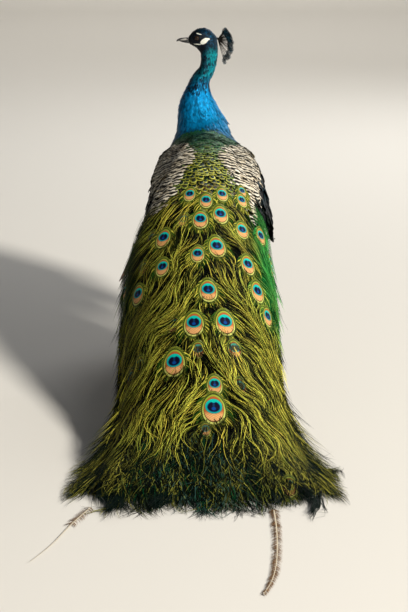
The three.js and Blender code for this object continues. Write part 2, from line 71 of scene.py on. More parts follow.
# The camera, found from the outline of the bird and the line of the train's end on the floor.
CAMERA = {"place": (0.0, -3.569, 1.095), "tilt_down": 16.3, "lens": 90.0, "sensor": 36.0}
FRAME_SIZE = (408, 612)

# The train: y along the bird, drift of its middle, half width, height of its crown, edges and underside.
TRAIN = np.array([
    (0.096, 0.004, 0.020, 0.468, 0.452, 0.440), (0.040, 0.005, 0.043, 0.475, 0.452, 0.430),
    (-0.040, 0.005, 0.066, 0.472, 0.430, 0.400), (-0.120, 0.003, 0.096, 0.459, 0.394, 0.380),
    (-0.200, 0.000, 0.124, 0.433, 0.344, 0.350), (-0.300, -0.005, 0.147, 0.388, 0.276, 0.318),
    (-0.420, -0.011, 0.163, 0.330, 0.204, 0.262), (-0.560, -0.009, 0.162, 0.262, 0.124, 0.178),
    (-0.700, -0.006, 0.160, 0.193, 0.062, 0.092), (-0.820, 0.000, 0.171, 0.134, 0.020, 0.022),
    (-0.920, 0.002, 0.190, 0.086, 0.006, 0.004), (-1.010, 0.003, 0.210, 0.045, 0.003, 0.002),
    (-1.085, 0.004, 0.212, 0.014, 0.002, 0.001),
])

# Eyes of the train that show in the reference frame: across, down, width of the outer ring, and brightness,
# by which dimmer eyes are painted darker as shade.
EYES_SEEN = [
    (190, 195, 13, 1.0), (206, 201, 14, 1.0), (221.5, 195, 13, 1.0), (241.5, 192, 10, 0.8),
    (241.5, 201, 12, 1.0), (200, 220, 17, 1.0), (220, 215, 17, 1.0), (183, 219, 13, 0.6),
    (242, 231, 15, 1.0), (260, 236, 14, 1.0), (164, 238.5, 17, 1.0), (152, 238, 13, 0.4),
    (217, 247, 19, 1.0), (198, 255, 15, 0.9), (247, 265, 17, 1.0), (163, 267.5, 16, 0.9),
    (143, 267.5, 13, 0.4), (272, 269, 12, 0.9), (208, 291, 20, 1.0), (257, 292, 18, 1.0),
    (139, 295, 17, 0.9), (193.6, 324, 22, 1.0), (224.5, 323, 22, 1.0), (267, 317, 16, 0.9),
    (173, 324, 15, 0.6), (277, 338, 15, 0.6), (198.5, 349, 15, 0.7), (235, 348, 16, 0.7),
    (175, 363, 24, 1.0), (215, 385, 17, 0.8), (213.5, 409, 26, 1.0), (139, 366, 18, 0.6),
    (130, 377, 16, 0.6), (240, 386, 16, 0.3), (206, 429, 12, 0.25), (290, 486, 18, 0.15),
]

# The line through the body from the bill to the vent, which the small feathers follow.
BODY_LINE = np.array([
    (-0.050, 0.150, 0.677), (-0.020, 0.150, 0.679), (0.008, 0.150, 0.678), (0.017, 0.149, 0.662),
    (0.016, 0.148, 0.642), (0.013, 0.147, 0.621), (0.006, 0.146, 0.602), (-0.005, 0.148, 0.584),
    (-0.012, 0.151, 0.561), (-0.014, 0.153, 0.532), (-0.009, 0.150, 0.498), (-0.001, 0.137, 0.462),
    (0.0, 0.108, 0.426), (0.0, 0.062, 0.392), (0.0, 0.0, 0.370), (0.0, -0.075, 0.358),
    (0.0, -0.150, 0.352), (0.0, -0.215, 0.346), (0.0, -0.290, 0.336),
])


def middle_of(node):
    low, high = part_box(node)
    return (np.array(low) + np.array(high)) / 2


DATUM = np.array([
    (middle_of("shank_left")[0] + middle_of("shank_right")[0]) / 2,
    middle_of("train_fore")[1] - FORE_MIDDLE,
    0.0,
])


# ---------------------------------------------------------------- small sums on arrays of vectors
def unit(v):
    return v / np.maximum(np.linalg.norm(v, axis=-1, keepdims=True), 1e-12)


def flatten(v, normal):
    """The part of v along the surface with that normal, as unit vectors."""
    return unit(v - normal * np.sum(v * normal, axis=-1, keepdims=True))


def ease(x, low, high):
    t = np.clip((x - low) / (high - low), 0.0, 1.0)
    return t * t * (3 - 2 * t)


def blend(a, b, t):
    t = np.asarray(t)[..., None]
    return np.asarray(a) * (1 - t) + np.asarray(b) * t


def random(shape, low=0.0, high=1.0):
    return chance.uniform(low, high, shape)


def one_side(shape):
    """1 or -1 at random."""
    return np.where(random(shape) > 0.5, 1.0, -1.0)


def stations(steps):
    """Each step along a strand with its share of the way to the tip."""
    return [(k, k / (steps - 1)) for k in range(steps)]


def curve_through(points, count):
    """A run of places, spread evenly by number along the line through those points."""
    steps = np.linspace(0, len(points) - 1, count)
    return np.stack([np.interp(steps, np.arange(len(points)), column) for column in points.T], axis=1)


# ---------------------------------------------------------------- meshes from arrays
def add_object(name, data):
    obj = bpy.data.objects.new(name, data)
    bpy.context.scene.collection.objects.link(obj)
    return obj


def dress(mesh, material):
    """Shades a mesh smooth in one material."""
    mesh.polygons.foreach_set("use_smooth", np.full(len(mesh.polygons), True))
    mesh.materials.clear()
    mesh.materials.append(material)


def move_points(mesh, points):
    mesh.vertices.foreach_set("co", (points + DATUM).astype(np.float32).ravel())
    mesh.update()


def mesh_object(name, points, faces, material, maps, tones=None, tints=None):
    """A mesh of quads. maps is {name: places by point or by corner}; tones and tints go by point."""
    mesh = bpy.data.meshes.new(name)
    mesh.vertices.add(len(points))
    mesh.loops.add(faces.size)
    mesh.loops.foreach_set("vertex_index", faces.astype(np.int32).ravel())
    mesh.polygons.add(len(faces))
    mesh.polygons.foreach_set("loop_start", np.arange(0, faces.size, faces.shape[1], dtype=np.int32))
    mesh.vertices.foreach_set("co", (points + DATUM).astype(np.float32).ravel())
    mesh.update(calc_edges=True)
    for map_name, coords in maps.items():
        by_corner = coords if len(coords) == faces.size else coords[faces.ravel()]
        layer = mesh.uv_layers.new(name=map_name)
        layer.data.foreach_set("uv", by_corner.astype(np.float32).ravel())
    if tones is not None:
        layer = mesh.attributes.new("tone", "FLOAT", "POINT")
        layer.data.foreach_set("value", tones.astype(np.float32))
    if tints is not None:
        layer = mesh.attributes.new("tint", "FLOAT_COLOR", "POINT")
        layer.data.foreach_set("color", np.c_[tints, np.ones(len(tints))].astype(np.float32).ravel())
    dress(mesh, material)
    obj = add_object(name, mesh)
    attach(obj, "root")
    return obj


def grid_faces(rows, columns):
    """Quads of a grid of (rows + 1) lines of (columns + 1) points."""
    row, column = np.meshgrid(np.arange(rows), np.arange(columns), indexing="ij")
    first = (row * (columns + 1) + column).ravel()
    return np.stack([first, first + 1, first + columns + 2, first + columns + 1], axis=1)


def many(name, points, faces, local, places, patch, tones, tints, material):
    """One object of many pieces of one grid; points are (pieces, points of the grid, 3)."""
    count, each = points.shape[:2]
    points[..., 2] = np.maximum(points[..., 2], FLOOR_GAP)
    every = faces[None] + (np.arange(count) * each)[:, None, None]
    local = np.broadcast_to(local, (count, each, 2))
    baked = places[:, None] + (local - 0.5) * patch
    return mesh_object(
        name,
        points.reshape(-1, 3),
        every.reshape(-1, faces.shape[1]),
        material,
        {"OFBake": baked.reshape(-1, 2), "Vane": local.reshape(-1, 2)},
        np.repeat(np.broadcast_to(tones, count), each),
        tints,
    )


class Vane:
    """A feather's outline as a grid: across -1 to 1, along 0 to 1, and height as a share of the width."""

    def __init__(self, columns, outline, cup=0.25, rows=None):
        rows = [at for at, _ in outline] if rows is None else rows
        along, across = np.meshgrid(rows, np.linspace(-1, 1, columns + 1), indexing="ij")
        reach = np.interp(along, *zip(*outline))
        self.across, self.along = (across * reach).ravel(), along.ravel()
        self.height = (-cup * across**2 * reach).ravel()
        self.map = np.stack([across.ravel() * 0.5 + 0.5, along.ravel()], axis=1)
        self.faces = grid_faces(len(rows) - 1, columns)


SCALE = Vane(2, [(0, 0.45), (0.35, 0.85), (0.65, 1.0), (0.87, 0.82), (1.0, 0.3)])
LANCE = Vane(2, [(0, 0.5), (0.3, 1.0), (0.65, 0.8), (1.0, 0.12)])
BROAD = Vane(4, [(0, 0.3), (0.2, 0.75), (0.45, 1.0), (0.78, 0.95), (0.92, 0.7), (1.0, 0.3)],
             cup=0.2, rows=[0, 0.2, 0.4, 0.6, 0.78, 0.92, 1.0])
LONG = Vane(4, [(0, 0.25), (0.12, 0.8), (0.5, 1.0), (0.85, 0.8), (0.95, 0.5), (1.0, 0.12)],
            cup=0.3, rows=np.linspace(0, 1, 11))
DISC = Vane(8, [(0, 0.2), (0.06, 0.48), (0.17, 0.76), (0.33, 0.95), (0.5, 1.0), (0.67, 0.94), (0.83, 0.75),
                (0.94, 0.47), (1.0, 0.15)], cup=0.12)


def scatter(name, vane, roots, lie, normals, lengths, widths, lift, droop, tones, places, material,
            tints=None, patch=PATCH):
    """One object of feathers. lift raises their tips and droop bends them down, as shares of the length."""
    count, each = len(roots), len(vane.across)
    long, wide, lift, droop = (np.broadcast_to(v, count)[:, None] for v in (lengths, widths / 2, lift, droop))
    rise = vane.height * wide + (lift * vane.along - droop * vane.along**2) * long
    points = (
        roots[:, None]
        + lie[:, None] * (vane.along * long)[..., None]
        + np.cross(lie, normals)[:, None] * (vane.across * wide)[..., None]
        + normals[:, None] * rise[..., None]
    )
    if tints is not None:
        tints = np.repeat(np.broadcast_to(tints, (count, 3)), each, axis=0)
    return many(name, points, vane.faces, vane.map, places, patch, tones, tints, material)


def ribbons(name, lines, sides, widths, places, tones, tints, material):
    """One object of narrow strands. lines are (strands, steps, 3), and the rest is spread to fit them."""
    count, steps = lines.shape[:2]
    half = sides * widths[..., None] / 2
    points = np.stack([lines - half, lines + half], axis=2).reshape(count, steps * 2, 3)
    local = np.zeros((steps, 2, 2))
    local[..., 0] = (0, 1)
    local[..., 1] = np.linspace(0, 1, steps)[:, None]
    tints = np.repeat(np.broadcast_to(tints, (count, steps, 3)).reshape(-1, 3), 2, axis=0)
    return many(name, points, grid_faces(steps - 1, 1), local.reshape(-1, 2), places, PATCH, tones, tints,
                material)


def level_sides(lines, up=UP, tilt=0.0):
    """Across each strand and level with the floor, but for a tilt."""
    return unit(np.cross(unit(np.gradient(lines, axis=1)), up) + up * tilt)


# ---------------------------------------------------------------- shaders
class Signal:
    """A socket whose arithmetic adds Math nodes."""

    def __init__(self, paint, socket):
        self.paint, self.socket = paint, socket

    def __add__(self, other):
        return self.paint.math("ADD", self, other)

    def __sub__(self, other):
        return self.paint.math("SUBTRACT", self, other)

    def __rsub__(self, other):
        return self.paint.math("SUBTRACT", other, self)

    def __mul__(self, other):
        return self.paint.math("MULTIPLY", self, other)

    def __truediv__(self, other):
        return self.paint.math("DIVIDE", self, other)

    __radd__ = __add__
    __rmul__ = __mul__


class Paint:
    """A material that is built from expressions."""

    def __init__(self, name):
        self.material = bpy.data.materials.new(name)
        self.material.use_nodes = True
        self.tree = self.material.node_tree
        self.tree.nodes.clear()

    def node(self, kind, settings=None, inputs=None, output=0):
        """A node with its settings made first, then the values or links of its sockets."""
        node = self.tree.nodes.new(kind)
        for key, value in (settings or {}).items():
            if key == "stops":
                ramp = node.color_ramp.elements
                while len(ramp) < len(value):
                    ramp.new(1.0)
                for element, (position, colour) in zip(ramp, value):
                    element.position, element.color = position, (*colour, 1.0)
            else:
                setattr(node, key, value)
        for key, value in (inputs or {}).items():
            socket = node.inputs[key]
            if isinstance(value, Signal):
                self.tree.links.new(value.socket, socket)
            elif isinstance(value, tuple) and socket.type == "RGBA":
                socket.default_value = (*value, 1.0)
            else:
                socket.default_value = value
        return Signal(self, node.outputs[output]) if node.outputs else None

    def math(self, operation, *values):
        return self.node("ShaderNodeMath", {"operation": operation}, dict(enumerate(values)))

    def absolute(self, value):
        return self.math("ABSOLUTE", value)

    def vectors(self, operation, vector, factors):
        return self.node("ShaderNodeVectorMath", {"operation": operation}, {0: vector, 1: tuple(factors)})

    def soft(self, value, low, high, step="SMOOTHSTEP"):
        """0 below low, 1 above high and a smooth step between; low may be above high."""
        ends = {"Value": value, "From Min": low, "From Max": high}
        return self.node("ShaderNodeMapRange", {"interpolation_type": step}, ends)

    def ramp(self, value, low, high, stops):
        share = self.soft(value, low, high, "LINEAR")
        return self.node("ShaderNodeValToRGB", {"stops": stops}, {"Fac": share})

    def mix(self, a, b, factor):
        return self.node("ShaderNodeMix", {"data_type": "RGBA"}, {0: factor, 6: a, 7: b}, output=2)

    def lay(self, colour, *layers):
        """colour with layers of (colour, mask) laid over it in turn."""
        for layer, mask in layers:
            colour = self.mix(colour, layer, mask)
        return colour

    def split(self, vector):
        node = self.node("ShaderNodeSeparateXYZ", None, {0: vector}).socket.node
        return [Signal(self, socket) for socket in node.outputs]

    def place(self):
        """The point in the bird's own frame, as a vector."""
        return self.vectors("SUBTRACT", self.node("ShaderNodeTexCoord", output="Object"), DATUM)

    def vane(self):
        """Across a feather from -1 to 1, along it from 0 at the root to 1 at the tip, and its tone."""
        across, along, _ = self.split(self.node("ShaderNodeUVMap", {"uv_map": "Vane"}))
        return across * 2 - 1, along, self.node("ShaderNodeAttribute", {"attribute_name": "tone"}, output=2)

    def tint(self):
        return self.node("ShaderNodeAttribute", {"attribute_name": "tint"})

    def noise(self, point, scale, detail=2.0):
        return self.node("ShaderNodeTexNoise", None, {"Vector": point, "Scale": scale, "Detail": detail})

    def barbs(self, across, along, pitch):
        """Fine lines that slant back from a feather's shaft."""
        return self.math("SINE", (along + self.absolute(across) * -0.22) * pitch)

    def oval(self, x, y, middle, radii, turn=0.0):
        """Distance from the middle of an oval, 1 at its rim."""
        c, s = math.cos(turn), math.sin(turn)
        dx, dy = x - middle[0], y - middle[1]
        a = (dx * c + dy * s) / radii[0]
        b = (dy * c - dx * s) / radii[1]
        return self.math("SQRT", a * a + b * b)

    def finish(self, colour, roughness=0.6, metallic=0.0, coat=0.0, specular=0.5, bump=None, depth=0.3,
               height=0.001):
        inputs = {"Base Color": colour, "Roughness": roughness, "Metallic": metallic, "Coat Weight": coat,
                  "Specular IOR Level": specular}
        if bump is not None:
            relief = {"Strength": depth, "Distance": height, "Height": bump}
            inputs["Normal"] = self.node("ShaderNodeBump", None, relief)
        shader = self.node("ShaderNodeBsdfPrincipled", None, inputs)
        self.node("ShaderNodeOutputMaterial", None, {"Surface": shader})
        return self.material


# Colours of the body by height, from 0.30 to 0.71 over the floor.
PLUMAGE = [
    (0.00, (0.006, 0.010, 0.008)), (0.17, (0.004, 0.020, 0.020)), (0.29, (0.002, 0.060, 0.120)),
    (0.39, (0.000, 0.150, 0.340)), (0.46, (0.000, 0.270, 0.600)), (0.61, (0.000, 0.250, 0.590)),
    (0.67, (0.000, 0.100, 0.220)), (0.73, (0.000, 0.190, 0.240)), (0.84, (0.000, 0.210, 0.240)),
    (0.89, (0.000, 0.030, 0.055)), (0.975, (0.000, 0.022, 0.040)),
]


def plumage_colour(paint, point):
    """Colour and metallic sheen of the head, neck, breast, belly and back, from the place alone."""
    x, y, z = paint.split(point)
    mottle = paint.noise(paint.vectors("MULTIPLY", point, (1.0, 1.0, 0.42)), 130.0)
    wide = paint.noise(point, 22.0) - 0.5
    height = z + wide * 0.02
    blotch = 0.65 - paint.soft(paint.absolute(z - 0.568), 0.03, 0.0) * 0.13 - paint.soft(z, 0.58, 0.61) * 0.08
    # Darker on the bird's left of the upper neck: partly the throat's deeper blue, partly painted shade on
    # the side away from the light.
    throat = paint.soft(x, 0.020, 0.000) * paint.soft(z, 0.585, 0.615)
    crown = paint.soft(z, 0.655, 0.672)
    speckle = paint.soft(paint.noise(point, 330.0), 0.52, 0.62) * paint.soft(x, -0.012, 0.004)
    behind = paint.soft(y + wide * 0.04, 0.10, 0.02) * paint.soft(z, 0.50, 0.44)
    colour = paint.lay(
        paint.ramp(height, 0.30, 0.71, PLUMAGE),
        ((0.001, 0.005, 0.016), paint.soft(mottle - blotch, 0.0, 0.07) * 0.85),
        ((0.000, 0.016, 0.030), throat * 0.85),
        ((0.001, 0.008, 0.016), crown * 0.9),
        ((0.000, 0.110, 0.260), crown * speckle * 0.8),
        ((0.008, 0.016, 0.010), behind),
    )
    return colour, paint.soft(height, 0.36, 0.46) * (0.55 - paint.soft(z, 0.645, 0.670) * 0.40)


# White patches of the face: middle and radii in x and z, turn, and how far in from the rim each is all white.
FACE_PATCHES = {
    "cheek": ((0.0005, 0.6745), (0.0115, 0.0060), 0.62, 0.90),
    "behind the eye": ((0.0075, 0.6790), (0.0065, 0.0030), 0.15, 0.85),
    "brow": ((-0.012, 0.6915), (0.0075, 0.0012), -0.25, 0.8),
    "below the eye": ((-0.016, 0.6668), (0.0100, 0.0014), -0.04, 0.8),
}


def head_and_body(paint, point):
    """Plumage with the dark face over it: its colour, its sheen, and where the face is white."""
    x, y, z = paint.split(point)
    colour, sheen = plumage_colour(paint, point)
    edge = (paint.noise(point, 260.0) - 0.5) * 0.35
    mask = paint.soft(paint.oval(x, z, (-0.026, 0.669), (0.032, 0.031)) + edge * 0.6, 1.12, 0.88)
    white = 0.0
    for middle, radii, turn, full in FACE_PATCHES.values():
        patch = paint.soft(paint.oval(x, z, middle, radii, turn) + edge, 1.05, full)
        white = paint.math("MAXIMUM", white, patch)
    white = white * paint.soft(paint.absolute(y - EYE_AT[1]), 0.007, 0.010)
    colour = paint.lay(colour, ((0.002, 0.004, 0.008), mask * 0.96), ((0.95, 0.95, 0.86), white))
    return colour, sheen * (1 - mask), white


def skin_paint():
    paint = Paint("skin")
    point = paint.place()
    colour, sheen, white = head_and_body(paint, point)
    dark = paint.mix(colour, (0.004, 0.006, 0.006), (1 - white) * 0.45)
    return paint.finish(dark, roughness=0.65, metallic=sheen, specular=0.2, bump=paint.noise(point, 900.0),
                        depth=0.5)


def small_paint():
    """Contour feathers of the head, neck, breast and belly."""
    paint = Paint("contour_feathers")
    point = paint.place()
    across, along, tone = paint.vane()
    colour, sheen, white = head_and_body(paint, point)
    edge = paint.soft(paint.oval(across, along, (0, 0.45), (1.05, 0.6)), 0.75, 1.05)
    calm = paint.soft(paint.split(point)[2], 0.560, 0.525)
    colour = paint.lay(
        colour,
        ((0.01, 0.40, 0.66), edge * sheen * 0.6),
        ((0.000, 0.004, 0.015), paint.soft(tone, 0.55, 0.05) * (0.9 - calm * 0.40) * (1 - white)),
        ((0.001, 0.004, 0.012), paint.soft(along, 0.45, 0.05) * 0.6 * (1 - white)),
    )
    return paint.finish(colour, roughness=0.42, metallic=sheen, specular=0.2,
                        bump=paint.barbs(across, along, 60.0))


def mantle_paint():
    """Scales of the saddle: dark with green rims, golden towards the train and copper at its start."""
    paint = Paint("saddle_scales")
    x, y, _ = paint.split(paint.place())
    across, along, tone = paint.vane()
    ring = paint.oval(across, along, (0, 0.36), (1.0, 0.66))
    back = paint.soft(y + (tone - 0.5) * 0.08, -0.05, -0.21)
    middle = paint.soft(paint.absolute(x - 0.004) + (tone - 0.5) * 0.02, 0.085, 0.030)
    rim = paint.lay(
        (0.035, 0.230, 0.055),
        ((0.60, 0.58, 0.06), back * (middle * 0.75 + 0.25)),
        ((0.52, 0.24, 0.05), paint.soft(y + (tone - 0.5) * 0.06, -0.24, -0.31) * 0.55),
    )
    colour = paint.lay(
        (0.002, 0.012, 0.008),
        ((0.20, 0.085, 0.03), paint.soft(y, -0.22, -0.28) * tone * 0.7),
        ((0.006, 0.060, 0.022), paint.soft(ring, 0.42, 0.60)),
        (rim, paint.soft(ring, 0.66, 0.82)),
        ((0.004, 0.012, 0.004), paint.soft(ring, 1.02, 1.10) * 0.7),
        ((0.0, 0.01, 0.012), paint.soft(tone, 0.35, 0.0) * 0.7),
    )
    return paint.finish(colour, roughness=0.42, metallic=0.4, specular=0.3,
                        bump=paint.barbs(across, along, 90.0))


def barred_paint():
    """Buff wing feathers crossed by narrow wavy bars of black, which run on from feather to feather."""
    paint = Paint("barred_feathers")
    point = paint.place()
    x, y, z = paint.split(point)
    across, along, tone = paint.vane()
    wave = paint.noise(point, 45.0, 1.0) * 1.7 + paint.noise(point, 120.0, 1.0) * 0.6
    phase = (y * 0.56 + z * 0.74 + paint.absolute(x) * 0.08) / 0.0096 + wave + tone * 0.12
    colour = paint.lay(
        (0.60, 0.52, 0.38),
        ((0.86, 0.81, 0.68), tone),
        ((0.010, 0.008, 0.006), paint.soft(paint.math("SINE", phase * math.tau), -0.20, 0.20)),
        ((0.03, 0.02, 0.012), paint.soft(along, 0.25, 0.0) * 0.5),
    )
    return paint.finish(colour, roughness=0.7, specular=0.2, bump=paint.barbs(across, along, 80.0))


def covert_paint():
    """Blue-black wing coverts with a faint gloss at their edges."""
    paint = Paint("dark_wing_feathers")
    across, along, tone = paint.vane()
    edge = paint.soft(paint.absolute(across), 0.35, 1.0)
    colour = paint.mix((0.006, 0.007, 0.009), (0.004, 0.035, 0.05), edge * tone)
    return paint.finish(colour, roughness=0.6, specular=0.15, bump=paint.barbs(across, along, 110.0))


def flight_paint():
    """Chestnut primaries and the plain brown tail feathers, by their tint."""
    paint = Paint("flight_feathers")
    across, along, tone = paint.vane()
    mottle = paint.noise(paint.place(), 140.0)
    colour = paint.lay(
        paint.tint(),
        ((0.012, 0.007, 0.004), paint.soft(mottle + tone * 0.3, 0.55, 0.85) * 0.8),
        ((0.55, 0.45, 0.30), paint.soft(paint.absolute(across), 0.08, 0.03) * 0.7),
    )
    return paint.finish(colour, roughness=0.6, bump=paint.barbs(across, along, 160.0))


def down_paint():
    """Buff-brown feathers of the thighs."""
    paint = Paint("thigh_feathers")
    across, along, tone = paint.vane()
    root = paint.soft(along, 0.5, 0.1) * 0.7
    colour = paint.lay((0.16, 0.10, 0.055), ((0.34, 0.25, 0.16), tone), ((0.05, 0.03, 0.015), root))
    return paint.finish(colour, roughness=0.85, bump=paint.barbs(across, along, 60.0))


def strand_paint():
    """Loose barbs: each carries its own tint."""
    paint = Paint("train_strands")
    return paint.finish(paint.tint(), roughness=0.55, specular=0.04)


# Rings of a train's eye, from the middle out: middle along the vane, and radii across and along.
RINGS = {
    "spot": (0.475, (0.17, 0.050)),
    "middle": (0.425, (0.44, 0.132)),
    "bright": (0.410, (0.60, 0.190)),
    "copper": (0.475, (0.68, 0.320)),
    "rim": (0.490, (0.80, 0.385)),
    "outer": (0.50, (0.92, 0.455)),
}


def spot_paint():
    """The eye at the end of a train feather, by the place on its vane: rings about a dark notched middle."""
    paint = Paint("train_eyes")
    across, along, tone = paint.vane()
    from_middle = along * 2 - 1
    disc = paint.math("SQRT", paint.math("MAXIMUM", 1 - from_middle * from_middle, 0.02))
    x = across * disc * (1.08 - along * 0.16)
    off = paint.absolute(x)
    ring = {name: paint.oval(x, along, (0, at), radii) for name, (at, radii) in RINGS.items()}
    middle = ring["middle"] + paint.soft(off, 0.18, 0.0) * paint.soft(along, 0.38, 0.26) * 0.5
    stem = paint.soft(off, 0.12, 0.03) * paint.soft(along, 0.48, 0.40)
    fleck = paint.barbs(across, along, 110.0) * 0.5 + 0.5
    halo = paint.mix((0.03, 0.07, 0.010), (0.26, 0.28, 0.025), fleck)
    yellow = paint.mix((0.34, 0.42, 0.04), (0.62, 0.65, 0.16), paint.soft(along, 0.25, 0.75))
    brown = paint.mix((0.52, 0.13, 0.03), (0.90, 0.47, 0.18), paint.soft(along, 0.50, 0.66))
    brown = paint.mix(brown, (0.30, 0.11, 0.03), fleck * 0.35)
    teal = paint.mix((0.0, 0.56, 0.46), (0.0, 0.36, 0.36), paint.soft(along, 0.24, 0.50))
    crossing = paint.mix((0.020, 0.026, 0.004), (0.22, 0.20, 0.03), paint.soft(fleck, 0.60, 0.95))
    within = paint.soft(paint.oval(across, along, (0, 0.36), (0.70, 0.24)), 1.05, 0.8)
    colour = paint.lay(
        halo,
        ((0.075, 0.115, 0.012), paint.soft(ring["outer"], 1.0, 0.94) * 0.8),
        ((0.006, 0.022, 0.004), paint.soft(ring["rim"], 1.12, 1.05) * 0.9),
        (yellow, paint.soft(ring["rim"], 1.04, 0.99)),
        ((0.10, 0.05, 0.015), paint.soft(ring["rim"], 0.90, 0.87)),
        (brown, paint.soft(ring["copper"], 1.03, 0.98)),
        ((0.04, 0.10, 0.02), paint.soft(ring["bright"], 1.08, 1.03) * 0.7),
        (teal, paint.soft(ring["bright"], 1.03, 0.98)),
        ((0.0, 0.050, 0.16), paint.soft(middle, 1.12, 1.00)),
        ((0.003, 0.002, 0.020), paint.soft(middle, 1.00, 0.88)),
        ((0.0, 0.090, 0.26), stem * paint.soft(middle, 1.3, 1.0) * 0.4),
        ((0.0, 0.070, 0.36), paint.soft(ring["spot"], 1.2, 0.5) * 0.9),
        (crossing, paint.soft(tone, 0.75, 0.68) * within * 0.7),
        # Dimmer eyes are darkened: painted shade.
        ((0.012, 0.014, 0.004), (1 - tone) * 0.6),
    )
    return paint.finish(colour, roughness=0.45, metallic=0.35, specular=0.25,
                        bump=paint.barbs(across, along, 110.0), height=0.0006)


def shaded_mat_paint():
    """The mass of feathers that lies under the loose barbs, painted near black as the shade in the gaps
    between them.
    """
    paint = Paint("train_mat")
    streaks = paint.noise(paint.vectors("MULTIPLY", paint.place(), (260.0, 9.0, 60.0)), 1.0)
    colour = paint.mix((0.004, 0.005, 0.002), (0.020, 0.020, 0.007), paint.soft(streaks, 0.42, 0.7))
    return paint.finish(colour, roughness=0.8, specular=0.05, bump=streaks, height=0.002)


def leg_paint():
    paint = Paint("leg_scutes")
    point = paint.place()
    colour = paint.mix((0.13, 0.105, 0.085), (0.30, 0.26, 0.21), paint.noise(point, 260.0))
    return paint.finish(colour, roughness=0.55, bump=paint.noise(point, 600.0), depth=0.4)


def claw_paint():
    paint = Paint("claw_horn")
    point = paint.place()
    colour = paint.mix((0.018, 0.014, 0.011), (0.07, 0.055, 0.04), paint.noise(point, 220.0))
    return paint.finish(colour, roughness=0.35, coat=0.2, bump=paint.noise(point, 500.0), depth=0.15)


def bill_paint():
    paint = Paint("bill_horn")
    point = paint.place()
    x, _, z = paint.split(point)
    # A pale streak along the upper bill is a painted highlight.
    painted_highlight = paint.oval(x, z, (-0.047, 0.6775), (0.012, 0.0022), 0.16)
    nostril = paint.oval(x, z, (-0.0385, 0.6795), (0.0042, 0.0014), 0.25)
    colour = paint.lay(
        (0.012, 0.012, 0.014),
        ((0.070, 0.070, 0.070), paint.soft(paint.noise(point, 160.0), 0.35, 0.7)),
        ((0.42, 0.41, 0.38), paint.soft(painted_highlight, 1.1, 0.6)),
        ((0.004, 0.004, 0.004), paint.soft(nostril, 1.05, 0.8)),
    )
    return paint.finish(colour, roughness=0.38, coat=0.15, bump=paint.noise(point, 420.0), depth=0.2)


def eye_paint():
    """A brown iris round a black pupil, looking outwards."""
    paint = Paint("eye_ball")
    x, _, z = paint.split(paint.place())
    reach = paint.oval(x, z, (EYE_AT[0], EYE_AT[2]), (EYE_RADIUS, EYE_RADIUS))
    colour = paint.lay(
        (0.001, 0.001, 0.001),
        ((0.050, 0.020, 0.009), paint.soft(reach, 0.46, 0.52)),
        ((0.004, 0.003, 0.002), paint.soft(reach, 0.70, 0.82)),
    )
    return paint.finish(colour, roughness=0.12, specular=0.35, coat=0.15)


# ---------------------------------------------------------------- surfaces grown from the solids
def read(items, key, width, kind=np.float32):
    """One property of all of a mesh's items, as an array."""
    values = np.empty(len(items) * width, kind)
    items.foreach_get(key, values)
    return values.reshape(-1, width)


def points_of(mesh):
    return read(mesh.vertices, "co", 3).astype(float) - DATUM


def normals_of(mesh):
    return read(mesh.vertices, "normal", 3).astype(float)


def remeshed(name, nodes, cell, rounds):
    """Those CAD nodes as one closed surface of even faces, smoothed."""
    source = bpy.data.meshes.new(name)
    joined = bmesh.new()
    for node in nodes:
        joined.from_mesh(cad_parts[node].data)
    joined.to_mesh(source)
    joined.free()
    obj = add_object(name, source)
    remesh = obj.modifiers.new("remesh", "REMESH")
    remesh.mode, remesh.voxel_size = "VOXEL", cell
    smooth = obj.modifiers.new("smooth", "SMOOTH")
    smooth.factor, smooth.iterations = 0.5, rounds
    bpy.context.view_layer.update()
    result = obj.evaluated_get(bpy.context.evaluated_depsgraph_get())
    done = bpy.data.meshes.new_from_object(result)
    obj.modifiers.clear()
    obj.data = done
    bpy.data.meshes.remove(source)
    return obj


def smoothed(name, nodes, cell, rounds, material):
    """One closed smooth surface in place of those nodes."""
    obj = remeshed(name, nodes, cell, rounds)
    dress(obj.data, material)
    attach(obj, "root")
    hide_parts(*nodes)
    return obj


FLESH = ["head", "neck_upper", "neck_lower", "breast", "trunk", "rump", "saddle"]
for side_name in ("left", "right"):
    FLESH += [f"thigh_{side_name}", f"wing_barred_{side_name}", f"wing_covert_{side_name}"]

# The box round the crease between the neck and the saddle, which is smoothed away.
NAPE = np.array([(-0.115, -0.045, 0.395), (0.115, 0.160, 0.520)])
NAPE_ROUNDS = 260

# How far the skin lies inside the feathers' surface, by height: least on the face, most on the body.
COAT_DEPTH = [(0.20, 0.30, 0.45, 0.50, 0.64, 0.70), (0.004, 0.006, 0.004, 0.002, 0.0012, 0.001)]


def smooth_points(fine, verts, rounds):
    axes = {"use_axis_x": True, "use_axis_y": True, "use_axis_z": True}
    for _ in range(rounds):
        bmesh.ops.smooth_vert(fine, verts=verts, factor=0.5, **axes)


def refine_head(fine):
    """Halves the faces of the head, then smooths it down to a little below."""
    head = [edge for edge in fine.edges if min(v.co.z for v in edge.verts) > HEAD_Z]
    bmesh.ops.subdivide_edges(fine, edges=head, cuts=1, use_grid_fill=True)
    bmesh.ops.triangulate(fine, faces=[face for face in fine.faces if len(face.verts) > 4])
    smooth_points(fine, [v for v in fine.verts if v.co.z > 0.64], 2)


def calm_nape(fine):
    """Smooths the crease in its box away, less near the sides of the box."""
    low, high = NAPE + DATUM

    def depth(co):
        return min(min(co[k] - low[k], high[k] - co[k]) for k in range(3))

    nape = [v for v in fine.verts if depth(v.co) > 0]
    before = [v.co.copy() for v in nape]
    smooth_points(fine, nape, NAPE_ROUNDS)
    for v, old in zip(nape, before):
        v.co = old.lerp(v.co, float(ease(depth(old), 0.0, 0.030)))


